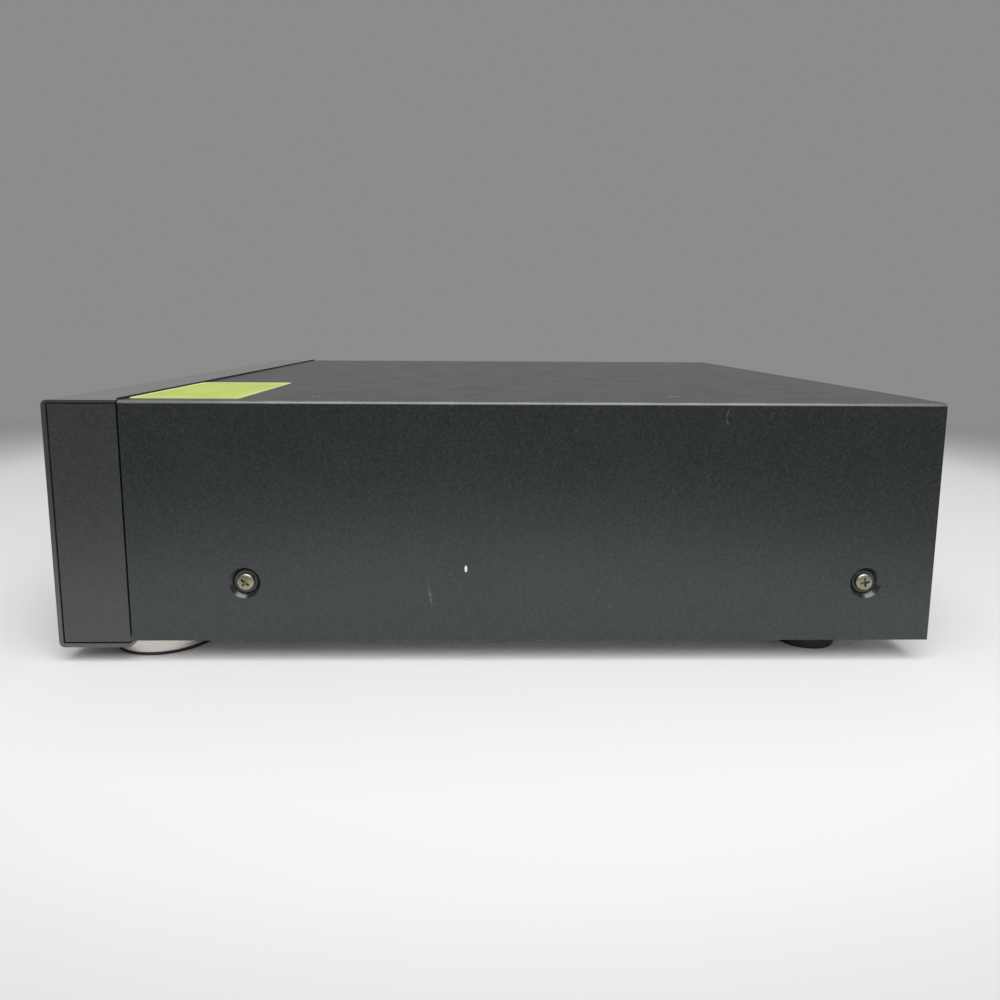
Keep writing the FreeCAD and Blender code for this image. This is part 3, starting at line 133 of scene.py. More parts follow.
# The CAD nodes whose edges catch the light, and the bevel's width on edges sharper than the angle.
EDGE_ANGLE = math.radians(30.0)
SOFT_EDGES = {
    "top_cover": 0.35, "fascia_frame": 0.25, "left_end_cap": 0.30, "right_end_cap": 0.30,
    "drawer_front": 0.20, "display_window": 0.15, "rear_panel": 0.15, "front_feet": 0.30, "rear_feet": 0.60,
    "mains_inlet": 0.30, "line_out_sockets": 0.15, "carousel": 0.30, "carousel_well_walls": 0.35,
    "carousel_cap": 0.35, "drawer_base": 0.30, "headphone_jack": 0.20, "headphone_level_knob": 0.15,
}

# ---- the studio, in metres
FLOOR_RADII = (0.3, 0.6, 1.0, 1.6, 2.6, 4.0, 6.0)
FLOOR_SEGMENTS = 96
# The floor's colour fades from FLOOR_NEAR to FLOOR_FAR over FLOOR_FADE from FLOOR_CENTRE: a painted pool of light
# that falls off with distance.
FLOOR_NEAR = (0.80, 0.795, 0.785)
FLOOR_FAR = (0.30, 0.30, 0.30)
FLOOR_CENTRE = (-0.2, 0.0, 0.0)
FLOOR_FADE = (0.54, 0.98)
HORIZON_BLEND = (0.58, 1.02)
HORIZON = (0.26, 0.261, 0.258)
AMBIENT = (0.38, 0.382, 0.384)
SOFTBOX_PLACE = (0.95, 0.10, 1.30)
SOFTBOX_SIZE = 1.5
SOFTBOX_WATTS = 27.0


# ---- small helpers
def new_object(name, data):
    """An object in the scene that holds a mesh, a curve, a lamp or a camera."""
    made = bpy.data.objects.new(name, data)
    bpy.context.scene.collection.objects.link(made)
    return made


def mesh_from(name, build, smooth_angle=35.0):
    """A mesh object filled in by build(bm), shaded smooth except at edges above the angle."""
    bm = bmesh.new()
    build(bm)
    bmesh.ops.recalc_face_normals(bm, faces=bm.faces)
    mesh = bpy.data.meshes.new(name)
    bm.to_mesh(mesh)
    bm.free()
    mesh.shade_smooth()
    mesh.set_sharp_from_angle(angle=math.radians(smooth_angle))
    return new_object(name, mesh)


def finish_piece(piece, material, body):
    """Gives a new piece its material and the body that it moves with."""
    piece.data.materials.clear()
    piece.data.materials.append(material)
    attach(piece, body)
    return piece


def solid_copy(piece):
    """The mesh of an object with its modifiers applied."""
    bpy.context.view_layer.update()
    return bpy.data.meshes.new_from_object(piece.evaluated_get(bpy.context.evaluated_depsgraph_get()))


def middle(name):
    """The centre of a node's box, in metres."""
    low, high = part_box(name)
    return (low + high) / 2


def around(count):
    """As many angles, evenly spaced round a circle."""
    return [2 * math.pi * index / count for index in range(count)]


def bridge(bm, rings):
    """Quads between neighbouring closed rings of as many vertices."""
    for lower, upper in zip(rings, rings[1:]):
        for index in range(len(lower)):
            after = (index + 1) % len(lower)
            bm.faces.new([lower[index], lower[after], upper[after], upper[index]])


def lathe(bm, profile, segments, place=Matrix.Identity(4)):
    """Turns (radius, height) points in mm about Z; a zero radius closes the end."""
    rings = []
    for radius, height in profile:
        if radius == 0:
            rings.append([bm.verts.new(place @ Vector((0, 0, height * MM)))])
            continue
        ring = []
        for angle in around(segments):
            point = Vector((radius * MM * math.cos(angle), radius * MM * math.sin(angle), height * MM))
            ring.append(bm.verts.new(place @ point))
        rings.append(ring)
    for lower, upper in zip(rings, rings[1:]):
        for index in range(segments):
            after = (index + 1) % segments
            corners = [lower[index % len(lower)], lower[after % len(lower)],
                       upper[after % len(upper)], upper[index % len(upper)]]
            distinct = list(dict.fromkeys(corners))
            if len(distinct) > 2:
                bm.faces.new(distinct)


def prism(bm, outline, low, high, place=Matrix.Identity(4), taper=1.0):
    """Extrudes a closed outline of (x, y) points from low to high along Z, in mm."""
    bottom = [bm.verts.new(place @ Vector((x * MM * taper, y * MM * taper, low * MM))) for x, y in outline]
    top = [bm.verts.new(place @ Vector((x * MM, y * MM, high * MM))) for x, y in outline]
    bm.faces.new(bottom[::-1])
    bm.faces.new(top)
    bridge(bm, [bottom, top])


def along(direction, centre, spin=0.0):
    """A placement at a centre that turns local Z to a direction."""
    turn = Vector(direction).to_track_quat("Z", "Y").to_matrix().to_4x4()
    return Matrix.Translation(centre) @ turn @ Matrix.Rotation(spin, 4, "Z")


def smooth_by_angle_group():
    """Geometry nodes that shade smooth below an edge angle and sharp above it."""
    group = bpy.data.node_groups.new("smooth_by_angle", "GeometryNodeTree")
    group.interface.new_socket("Geometry", in_out="INPUT", socket_type="NodeSocketGeometry")
    group.interface.new_socket("Geometry", in_out="OUTPUT", socket_type="NodeSocketGeometry")
    start = group.nodes.new("NodeGroupInput")
    faces = group.nodes.new("GeometryNodeSetShadeSmooth")
    edges = group.nodes.new("GeometryNodeSetShadeSmooth")
    edges.domain = "EDGE"
    angle = group.nodes.new("GeometryNodeInputMeshEdgeAngle")
    compare = group.nodes.new("FunctionNodeCompare")
    compare.operation = "LESS_THAN"
    compare.inputs["B"].default_value = EDGE_ANGLE
    end = group.nodes.new("NodeGroupOutput")
    group.links.new(start.outputs[0], faces.inputs["Geometry"])
    group.links.new(faces.outputs[0], edges.inputs["Geometry"])
    group.links.new(angle.outputs["Unsigned Angle"], compare.inputs["A"])
    group.links.new(compare.outputs[0], edges.inputs["Shade Smooth"])
    group.links.new(edges.outputs[0], end.inputs[0])
    return group


SMOOTH_GROUP = smooth_by_angle_group()


def soften(name, width):
    """Rounds the sharp edges of a CAD node by modifiers; its own mesh stays as it is."""
    node = nodes[name]
    weld = node.modifiers.new("weld", "WELD")
    weld.merge_threshold = 1e-6
    flat = node.modifiers.new("flat", "DECIMATE")
    flat.decimate_type = "DISSOLVE"
    flat.angle_limit = math.radians(0.5)
    bevel = node.modifiers.new("bevel", "BEVEL")
    bevel.width = width * MM
    bevel.segments = 2
    bevel.limit_method = "ANGLE"
    bevel.angle_limit = EDGE_ANGLE
    bevel.miter_outer = "MITER_ARC"
    shade = node.modifiers.new("shade", "NODES")
    shade.node_group = SMOOTH_GROUP
    normals = node.modifiers.new("normals", "WEIGHTED_NORMAL")
    normals.keep_sharp = True


# ---- material builder
class Finish:
    """A Principled material built node by node; plain constants sit on the shader's own sockets."""

    def __init__(self, name, roughness=0.5, metallic=0.0, specular=0.5):
        self.name = name
        self.material = bpy.data.materials.new(name)
        self.material.use_nodes = True
        self.tree = self.material.node_tree
        self.shader = self.tree.nodes["Principled BSDF"]
        self.set("Roughness", roughness)
        self.set("Metallic", metallic)
        self.set("Specular IOR Level", specular)
        self.place = self.add("ShaderNodeTexCoord").outputs["Object"]

    def add(self, kind, **settings):
        node = self.tree.nodes.new(kind)
        for key, value in settings.items():
            setattr(node, key, value)
        return node

    def set(self, socket, value):
        self.shader.inputs[socket].default_value = value

    def feed(self, target, value):
        """Links an output, or sets a plain value, on a node's input."""
        if isinstance(value, bpy.types.NodeSocket):
            self.tree.links.new(value, target)
        else:
            target.default_value = value

    def stretched(self, scale, turn=(0, 0, 0)):
        mapping = self.add("ShaderNodeMapping")
        self.feed(mapping.inputs["Vector"], self.place)
        mapping.inputs["Scale"].default_value = scale
        mapping.inputs["Rotation"].default_value = turn
        return mapping.outputs[0]

    def noise(self, scale, detail=2.0, rough=0.5, where=None):
        node = self.add("ShaderNodeTexNoise")
        self.feed(node.inputs["Vector"], where or self.place)
        node.inputs["Scale"].default_value = scale
        node.inputs["Detail"].default_value = detail
        node.inputs["Roughness"].default_value = rough
        return node.outputs["Fac"]

    def ramp(self, factor, low, high, to_low=0.0, to_high=1.0):
        node = self.add("ShaderNodeMapRange")
        self.feed(node.inputs["Value"], factor)
        for socket, value in (("From Min", low), ("From Max", high), ("To Min", to_low), ("To Max", to_high)):
            node.inputs[socket].default_value = value
        return node.outputs[0]

    def math(self, operation, first, second=0.0, clamp=False):
        node = self.add("ShaderNodeMath", operation=operation, use_clamp=clamp)
        self.feed(node.inputs[0], first)
        self.feed(node.inputs[1], second)
        return node.outputs[0]

    def mix(self, factor, first, second):
        """Mixes two colours."""
        node = self.add("ShaderNodeMix", data_type="RGBA")
        self.feed(node.inputs[0], factor)
        for socket, value in ((node.inputs[6], first), (node.inputs[7], second)):
            self.feed(socket, value if isinstance(value, bpy.types.NodeSocket) else (*value, 1.0))
        return node.outputs[2]

    def part(self, axis):
        """One coordinate of the place, in metres."""
        split = self.add("ShaderNodeSeparateXYZ")
        self.feed(split.inputs[0], self.place)
        return split.outputs["XYZ".index(axis)]

    def spot(self, centre, size, turn=(0, 0, 0), edge=0.35):
        """1 inside an ellipsoid of half sizes at a centre, in mm, fading at its edge."""
        mapping = self.add("ShaderNodeMapping", vector_type="TEXTURE")
        self.feed(mapping.inputs["Vector"], self.place)
        mapping.inputs["Location"].default_value = Vector(centre) * MM
        mapping.inputs["Rotation"].default_value = turn
        mapping.inputs["Scale"].default_value = Vector(size) * MM
        gradient = self.add("ShaderNodeTexGradient", gradient_type="SPHERICAL")
        self.feed(gradient.inputs[0], mapping.outputs[0])
        return self.ramp(gradient.outputs["Fac"], 0.0, edge)

    def bump(self, height, distance, strength=1.0):
        """Adds a bump of a real height in mm, on top of any earlier one."""
        node = self.add("ShaderNodeBump")
        node.inputs["Strength"].default_value = strength
        node.inputs["Distance"].default_value = distance * MM
        self.feed(node.inputs["Height"], height)
        normal = self.shader.inputs["Normal"]
        if normal.is_linked:
            self.feed(node.inputs["Normal"], normal.links[0].from_socket)
        self.feed(normal, node.outputs[0])

    def colour(self, value):
        self.feed(self.shader.inputs["Base Color"], value)

    def metallic(self, mask):
        self.feed(self.shader.inputs["Metallic"], mask)

    def roughness(self, factor, low, high):
        """Varies the roughness with the middle of a noise."""
        self.feed(self.shader.inputs["Roughness"], self.ramp(factor, 0.3, 0.7, low, high))


def blend_colours(finish, dark, light, scale):
    """The usual slow variation of a colour over a surface."""
    return finish.mix(finish.ramp(finish.noise(scale, 3.0), 0.3, 0.7), dark, light)


def moulded(name, dark, light, roughness, depth=0.006):
    """Moulded plastic with a spark-eroded grain, whose depth is in mm."""
    finish = Finish(name)
    finish.colour(blend_colours(finish, dark, light, 22.0))
    finish.roughness(finish.noise(70.0, 3.0), *roughness)
    finish.bump(finish.noise(1500.0, 3.0), depth)
    return finish


def brushed(name, dark, light, roughness, scale, metallic=1.0):
    """Metal with fine lines; scale stretches the noise, small along the lines."""
    finish = Finish(name, metallic=metallic)
    streaks = finish.noise(400.0, 3.0, where=finish.stretched(scale))
    finish.colour(finish.mix(finish.ramp(streaks, 0.3, 0.7), dark, light))
    finish.roughness(streaks, *roughness)
    finish.bump(streaks, 0.002)
    return finish


def plated(name, dark, light, roughness):
    """Zinc-plated sheet with a faint spangle."""
    finish = Finish(name, metallic=1.0)
    cells = finish.add("ShaderNodeTexVoronoi")
    finish.feed(cells.inputs["Vector"], finish.place)
    cells.inputs["Scale"].default_value = 160.0
    finish.colour(finish.mix(finish.ramp(cells.outputs["Distance"], 0.0, 0.9), dark, light))
    finish.roughness(finish.noise(60.0, 4.0), *roughness)
    finish.bump(finish.noise(900.0, 2.0), 0.003)
    return finish


# ---- the finishes
# Wear on the cover, in mm: centre, half sizes and turn.
CHIP = ((SIDE_X, -15.0, 48.3), (2.0, 0.75, 1.9), 0.0)
SIDE_SCRATCHES = (
    ((SIDE_X, -32.7, 35.0), (2.0, 0.75, 6.2), math.radians(9.0)),
    ((SIDE_X, 110.9, 126.4), (2.0, 0.40, 3.1), math.radians(-16.0)),
    ((SIDE_X, 110.8, 121.5), (2.0, 0.40, 2.4), math.radians(20.0)),
    ((SIDE_X, -22.8, 45.2), (2.0, 0.45, 0.45), 0.0),
)
TOP_SMUDGES = (
    ((193.5, -91.0, TOP_Z), (3.4, 3.2, 2.0), 0.0),
    ((197.0, -84.5, TOP_Z), (2.0, 1.6, 2.0), 0.0),
    ((88.0, 89.4, TOP_Z), (3.0, 0.8, 2.0), 0.0),
    ((186.0, 92.0, TOP_Z), (2.0, 5.0, 2.0), 0.3),
)
TOP_RED_STREAKS = (
    ((103.0, -106.0, TOP_Z), (8.0, 5.0, 2.0), 0.5),
    ((114.0, -82.0, TOP_Z), (2.5, 14.0, 2.0), -0.3),
    ((120.0, -58.0, TOP_Z), (2.0, 16.0, 2.0), 0.12),
)


def largest(finish, factors):
    """The highest of several masks."""
    highest = factors[0]
    for factor in factors[1:]:
        highest = finish.math("MAXIMUM", highest, factor)
    return highest


def turned_spots(finish, marks, axis, edge):
    """One mask for a group of marks, each turned about an axis."""
    masks = []
    for centre, size, angle in marks:
        turn = [0.0, 0.0, 0.0]
        turn["XYZ".index(axis)] = angle
        masks.append(finish.spot(centre, size, turn, edge))
    return largest(finish, masks)


def bend_mask(finish):
    """1 on the rounded edge between the cover's top and sides."""
    across = finish.math("ABSOLUTE", finish.part("X"))
    across = finish.math("SUBTRACT", across, cover_high.x - BEND_RADIUS * MM)
    above = finish.math("SUBTRACT", finish.part("Z"), cover_high.z - BEND_RADIUS * MM)
    return finish.ramp(finish.math("ADD", across, above), 1.03 * BEND_RADIUS * MM, 1.30 * BEND_RADIUS * MM)


def top_mask(finish):
    """1 on the cover's flat top."""
    return finish.ramp(finish.part("Z"), cover_high.z - 0.3 * MM, cover_high.z - 0.1 * MM)


def black_paint():
    """Near-black textured enamel with a fine speckle, a dusty top, scratches, and bends lightened as a painted
    highlight with some rubbed wear.
    """
    finish = Finish("black_paint", specular=0.85)
    finish.set("Specular Tint", (0.93, 0.99, 1.0, 1.0))
    speckle = finish.noise(820.0, 3.0, 0.7)
    base = blend_colours(finish, (0.0035, 0.0046, 0.0050), (0.0055, 0.0068, 0.0072), 12.0)
    base = finish.mix(finish.ramp(speckle, 0.42, 0.66), base, (0.0180, 0.0200, 0.0208))
    streaks = finish.noise(5.0, 4.0, 0.6, finish.stretched((1.0, 6.0, 1.0), (0, 0, 0.5)))
    dust = finish.math("MULTIPLY", top_mask(finish), finish.ramp(streaks, 0.30, 0.75, 0.24, 0.42))
    base = finish.mix(dust, base, (0.049, 0.046, 0.042))
    # Lighter paint on the bends: a painted highlight of the bend's reflection, partly rubbed wear, broken up by a
    # noise.
    rub_and_highlight_breakup = finish.ramp(finish.noise(55.0, 3.0), 0.25, 0.6, 0.55, 1.0)
    bend_highlight_and_rub = finish.math("MULTIPLY", bend_mask(finish), rub_and_highlight_breakup)
    base = finish.mix(bend_highlight_and_rub, base, (0.125, 0.125, 0.121))
    specks = finish.ramp(finish.noise(330.0, 1.0), 0.735, 0.83, 0.0, 0.40)
    base = finish.mix(specks, base, (0.060, 0.062, 0.063))
    broken = finish.ramp(finish.noise(420.0, 3.0), 0.35, 0.6, 0.25, 0.85)
    scratches = finish.math("MULTIPLY", turned_spots(finish, SIDE_SCRATCHES, "X", 0.9), broken)
    base = finish.mix(scratches, base, (0.145, 0.150, 0.155))
    broken = finish.ramp(finish.noise(260.0, 3.0), 0.42, 0.62)
    smudges = finish.math("MULTIPLY", turned_spots(finish, TOP_SMUDGES, "Z", 0.7), broken)
    base = finish.mix(smudges, base, (0.40, 0.40, 0.39))
    broken = finish.ramp(finish.noise(190.0, 3.0), 0.50, 0.68, 0.0, 0.5)
    streaked = finish.math("MULTIPLY", turned_spots(finish, TOP_RED_STREAKS, "Z", 0.8), broken)
    base = finish.mix(streaked, base, (0.26, 0.10, 0.07))
    centre, size, _ = CHIP
    chip = finish.spot(centre, size, edge=0.2)
    finish.colour(finish.mix(chip, base, (0.72, 0.74, 0.74)))
    finish.roughness(finish.noise(38.0, 4.0), 0.21, 0.27)
    finish.bump(speckle, 0.030)
    finish.bump(finish.noise(7.0, 1.0), 0.05, 0.6)
    finish.bump(finish.math("SUBTRACT", 1.0, chip), 0.05)
    return finish.material


def fascia_black():
    """Brushed black aluminium under a clear coat, paler on its top face as a painted sheen, and darker on its end
    faces.
    """
    finish = Finish("fascia_black", specular=1.0)
    streaks = finish.noise(420.0, 3.0, where=finish.stretched((0.02, 1, 1)))
    brushed_black = finish.mix(finish.ramp(streaks, 0.3, 0.7), (0.036, 0.037, 0.038), (0.054, 0.055, 0.055))
    # A paler colour on the top face: painted sheen of the light that the brushed top catches.
    painted_top_sheen = finish.ramp(finish.part("Z"), fascia_high.z - 0.6 * MM, fascia_high.z - 0.2 * MM)
    coloured = finish.mix(painted_top_sheen, brushed_black, (0.128, 0.128, 0.122))
    sideways = finish.math("ABSOLUTE", finish.part("X"))
    end_face = finish.ramp(sideways, fascia_high.x - 0.2 * MM, fascia_high.x - 0.1 * MM)
    finish.colour(finish.mix(end_face, coloured, (0.016, 0.018, 0.019)))
    finish.roughness(streaks, 0.22, 0.30)
    finish.set("Coat Weight", 1.0)
    finish.set("Coat Roughness", 0.18)
    finish.bump(streaks, 0.0015)
    return finish.material


def cap_black():
    """The moulded end caps: a bluer black than the paint, with a fine grain."""
    finish = Finish("cap_black", specular=1.0)
    speckle = finish.noise(900.0, 3.0, 0.7)
    base = blend_colours(finish, (0.0080, 0.0100, 0.0115), (0.0120, 0.0140, 0.0155), 26.0)
    finish.colour(finish.mix(finish.ramp(speckle, 0.42, 0.66), base, (0.0230, 0.0265, 0.0290)))
    finish.roughness(finish.noise(60.0, 3.0), 0.25, 0.32)
    finish.bump(speckle, 0.035)
    return finish.material


# Slot or material name to dark tone, light tone and range of roughness; the brushed ones then have the
# stretch of their lines, and a metallic value if it isn't 1.
MOULDED = {
    "frame_plastic": ((0.020, 0.020, 0.022), (0.030, 0.030, 0.032), (0.42, 0.56)),
    "grey_plastic": ((0.20, 0.20, 0.205), (0.25, 0.25, 0.255), (0.42, 0.56)),
    "key_black": ((0.026, 0.027, 0.029), (0.034, 0.035, 0.037), (0.30, 0.40)),
    "gear_white": ((0.62, 0.61, 0.57), (0.70, 0.69, 0.65), (0.38, 0.50)),
    "carousel_grey": ((0.050, 0.051, 0.055), (0.062, 0.063, 0.067), (0.44, 0.58)),
    "belt_rubber": ((0.018, 0.018, 0.018), (0.028, 0.028, 0.027), (0.60, 0.75)),
    "foot_rubber": ((0.020, 0.020, 0.020), (0.030, 0.030, 0.030), (0.70, 0.85)),
    "circuit_brown": ((0.30, 0.19, 0.085), (0.38, 0.25, 0.12), (0.42, 0.55)),
    "display_glass": ((0.055, 0.075, 0.072), (0.080, 0.100, 0.096), (0.08, 0.16)),
}
PLATED = {
    "zinc_steel": ((0.56, 0.57, 0.57), (0.70, 0.71, 0.70), (0.34, 0.48)),
    "screw_zinc": ((0.26, 0.25, 0.17), (0.42, 0.41, 0.31), (0.28, 0.40)),
}
BRUSHED = {
    "motor_steel": ((0.50, 0.50, 0.50), (0.64, 0.64, 0.63), (0.26, 0.38), (1, 1, 0.05)),
    "rod_steel": ((0.56, 0.56, 0.57), (0.70, 0.70, 0.71), (0.14, 0.24), (1, 0.05, 1)),
    "knob_metal": ((0.050, 0.051, 0.053), (0.085, 0.086, 0.088), (0.28, 0.38), (1, 0.05, 1), 0.3),
    "foot_silver": ((0.62, 0.585, 0.54), (0.76, 0.72, 0.67), (0.26, 0.38), (0.06, 0.06, 1)),
    "socket_metal": ((0.62, 0.61, 0.58), (0.74, 0.73, 0.70), (0.18, 0.28), (1, 0.1, 1)),
}
# Small pieces that the record has no slot for; the last value is the depth of their grain in mm.
SMALL = {
    "print_white": ((0.60, 0.61, 0.60), (0.70, 0.71, 0.70), (0.40, 0.50), 0.002),
    "print_grey": ((0.44, 0.45, 0.45), (0.54, 0.55, 0.55), (0.40, 0.50), 0.002),
    "segment_grey": ((0.42, 0.56, 0.52), (0.52, 0.66, 0.62), (0.30, 0.40), 0.002),
    "ring_white": ((0.66, 0.65, 0.62), (0.74, 0.73, 0.70), (0.32, 0.42)),
    "ring_red": ((0.36, 0.020, 0.018), (0.46, 0.035, 0.028), (0.30, 0.40)),
    "socket_insulator": ((0.55, 0.54, 0.50), (0.64, 0.63, 0.60), (0.35, 0.45)),
    "lens_blue": ((0.012, 0.020, 0.075), (0.020, 0.034, 0.110), (0.04, 0.08), 0.0),
}


def table_finishes(builder, table):
    """Name to material, for one table of finishes."""
    return {name: builder(name, *values).material for name, values in table.items()}


def window_smoke():
    """Smoked acrylic: the display shows faintly through it."""
    finish = Finish("window_smoke", roughness=0.05)
    finish.colour(blend_colours(finish, (0.30, 0.31, 0.32), (0.34, 0.35, 0.36), 30.0))
    finish.set("Transmission Weight", 0.97)
    finish.set("IOR", 1.49)
    return finish.material


def jack_black():
    """Black moulding, with the metal contact pins of the mains inlet."""
    finish = Finish("jack_black")
    inlet = middle("mains_inlet")
    pins = []
    for side in (-1, 1):
        centre = Vector((inlet.x + side * INLET_PIN_PITCH * MM / 2, inlet.y, inlet.z)) / MM
        pins.append(finish.spot(centre, (1.9, 30.0, 1.9), edge=0.3))
    pin = largest(finish, pins)
    body = blend_colours(finish, (0.022, 0.022, 0.023), (0.030, 0.030, 0.031), 22.0)
    finish.colour(finish.mix(pin, body, (0.66, 0.64, 0.60)))
    finish.metallic(pin)
    finish.roughness(finish.noise(70.0, 3.0), 0.30, 0.42)
    finish.bump(finish.noise(1500.0, 3.0), 0.006)
    return finish.material


def circuit_green():
    """The main board: green resist over pale tracks, black chips, blue capacitors, a bare heat sink."""
    finish = Finish("circuit_green")
    tracks = finish.add("ShaderNodeTexVoronoi", feature="DISTANCE_TO_EDGE", distance="CHEBYCHEV")
    finish.feed(tracks.inputs["Vector"], finish.place)
    tracks.inputs["Scale"].default_value = 140.0
    board = blend_colours(finish, (0.016, 0.100, 0.040), (0.026, 0.135, 0.055), 22.0)
    track = finish.ramp(tracks.outputs["Distance"], 0.02, 0.04, 0.55, 0.0)
    board = finish.mix(track, board, (0.10, 0.22, 0.09))
    high = finish.ramp(finish.part("Z"), (BOARD_TOP + 0.1) * MM, (BOARD_TOP + 0.3) * MM)
    base = finish.mix(high, board, (0.022, 0.022, 0.024))
    tall = finish.ramp(finish.part("Z"), TALLEST_CHIP * MM, (TALLEST_CHIP + 0.3) * MM)
    sleeves = largest(finish, [finish.spot((x, y, 32.0), (radius, radius, 60.0), edge=0.02)
                               for x, y, radius in CAPACITORS])
    sleeves = finish.math("MULTIPLY", sleeves, high)
    base = finish.mix(sleeves, base, (0.025, 0.045, 0.14))
    tops = finish.math("MULTIPLY", sleeves, finish.ramp(finish.noise(30.0, 0.0), 0.45, 0.5, 0.0, 0.25))
    base = finish.mix(tops, base, (0.05, 0.09, 0.22))
    sink = finish.math("MULTIPLY", finish.spot(*HEAT_SINK, edge=0.02), tall)
    finish.colour(finish.mix(sink, base, (0.60, 0.60, 0.61)))
    finish.metallic(sink)
    finish.roughness(finish.noise(60.0, 3.0), 0.32, 0.46)
    finish.bump(finish.noise(800.0, 2.0), 0.006)
    return finish.material


def transformer_iron():
    """Varnished laminations, with yellow tape round the winding that stands out front and back."""
    finish = Finish("transformer_iron")
    layers = finish.noise(1600.0, 3.0, where=finish.stretched((0.05, 1, 0.05)))
    iron = finish.mix(finish.ramp(layers, 0.35, 0.65), (0.075, 0.075, 0.080), (0.20, 0.195, 0.19))
    beyond = finish.math("ABSOLUTE", finish.math("SUBTRACT", finish.part("Y"), TRANSFORMER_Y * MM))
    winding = finish.ramp(beyond, CORE_HALF * MM, (CORE_HALF + 0.2) * MM)
    wraps = finish.noise(120.0, 2.0, where=finish.stretched((0.1, 0.1, 1)))
    tape = finish.mix(finish.ramp(wraps, 0.4, 0.6), (0.52, 0.34, 0.045), (0.62, 0.43, 0.08))
    finish.colour(finish.mix(winding, iron, tape))
    finish.metallic(finish.math("SUBTRACT", 0.6, winding, clamp=True))
    finish.roughness(layers, 0.40, 0.55)
    finish.bump(layers, 0.01)
    return finish.material


def sticker_yellow():
    """A blank fluorescent sticker with a paler margin and a little grime."""
    finish = Finish("sticker_yellow", roughness=0.45, specular=0.4)
    centre = (STICKER_LOW + STICKER_HIGH) / 2
    half = (STICKER_HIGH - STICKER_LOW) / 2
    margins = []
    for axis, place, reach in (("X", centre.x, half.x), ("Y", centre.y, half.y)):
        out = finish.math("ABSOLUTE", finish.math("SUBTRACT", finish.part(axis), place * MM))
        margins.append(finish.ramp(out, (reach - 2.6) * MM, (reach - 2.0) * MM))
    margin = largest(finish, margins)
    ink = blend_colours(finish, (0.49, 0.60, 0.115), (0.58, 0.66, 0.155), 30.0)
    base = finish.mix(margin, ink, (0.72, 0.76, 0.33))
    grime = finish.ramp(finish.noise(48.0, 5.0, 0.65), 0.52, 0.78, 0.0, 0.45)
    finish.colour(finish.mix(grime, base, (0.34, 0.38, 0.12)))
    finish.bump(finish.noise(36.0, 2.0), 0.10)
    return finish.material


# ---- screws
def cross_head(name, radius, height, arm, width, depth):
    """A pan head with a sunk cross, its seat at the origin and its face up; sizes in mm."""
    profile = [(0, 0), (radius * 0.96, 0), (radius, height * 0.14), (radius, height * 0.42)]
    for step in range(1, 6):
        angle = math.radians(15 * step)
        profile.append((radius * (0.58 + 0.42 * math.cos(angle)), height * (0.42 + 0.50 * math.sin(angle))))
    profile += [(radius * 0.5, height * 0.97), (0, height)]
    head = mesh_from(name, lambda bm: lathe(bm, profile, 48))

    def cutter(bm):
        low = height - depth
        high = height + 1.0
        for angle in (0.0, math.pi / 2):
            outline = [(-arm, -width), (arm, -width), (arm, width), (-arm, width)]
            prism(bm, outline, low, high, Matrix.Rotation(angle, 4, "Z"), taper=0.55)
        centre = [(width * 1.9 * math.cos(angle + math.pi / 4), width * 1.9 * math.sin(angle + math.pi / 4))
                  for angle in around(4)]
        prism(bm, centre, low - 0.25 * depth, high, taper=0.5)

    tool = mesh_from(name + "_cross", cutter)
    cut = head.modifiers.new("cross", "BOOLEAN")
    cut.operation = "DIFFERENCE"
    cut.object = tool
    cut.solver = "EXACT"
    cut.use_self = True
    made = solid_copy(head)
    bpy.data.objects.remove(head)
    bpy.data.objects.remove(tool)
    return made


def screw_set(name, head, shank, places):
    """Copies of one head, each with a plain shank behind it, joined into one piece."""
    radius, length = shank
    profile = [(0, -length), (radius * 0.6, -length), (radius, -(length - 1.0)), (radius, 0), (0, 0)]

    def build(bm):
        for place in places:
            copy = head.copy()
            copy.transform(place)
            bm.from_mesh(copy)
            bpy.data.meshes.remove(copy)
            lathe(bm, profile, 24, place)

    piece = mesh_from(name, build, 40.0)
    return finish_piece(piece, FINISHES["screw_zinc"], "cabinet")


def cover_screws():
    """The four screws in the cover's dimples."""
    low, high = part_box("cover_side_screws")
    head = cross_head("side_screw_head", *SIDE_HEAD)
    places = []
    spins = iter(SIDE_SCREW_SPINS)
    seat = SIDE_X - DIMPLE_DEPTH
    for side in (-1, 1):
        for y in (low.y + SIDE_SCREW_INSET * MM, high.y - SIDE_SCREW_INSET * MM):
            centre = Vector((side * seat * MM, y, (low.z + high.z) / 2))
            places.append(along((side, 0, 0), centre, next(spins)))
    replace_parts(screw_set("cover_screws", head, SIDE_SHANK, places), "cover_side_screws")


def back_screws():
    """Three screws through the cover's rear lip and four round the rear panel's lower edge."""
    low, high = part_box("rear_screws")
    head = cross_head("rear_screw_head", *REAR_HEAD)
    inset = REAR_HEAD[0] * MM
    lip_x = SIDE_X - LIP_SCREW_INSET
    panel_x = SIDE_X - PANEL_SCREW_INSET
    places = []
    for index, x in enumerate((-lip_x, 0.0, lip_x)):
        places.append(along((0, 1, 0), Vector((x * MM, cover_high.y, high.z - inset)), 0.4 * index))
    for index, x in enumerate((-panel_x, *PANEL_SCREW_XS, panel_x)):
        places.append(along((0, 1, 0), Vector((x * MM, panel_back, low.z + inset)), 0.7 * index))
    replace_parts(screw_set("back_screws", head, REAR_SHANK, places), "rear_screws")


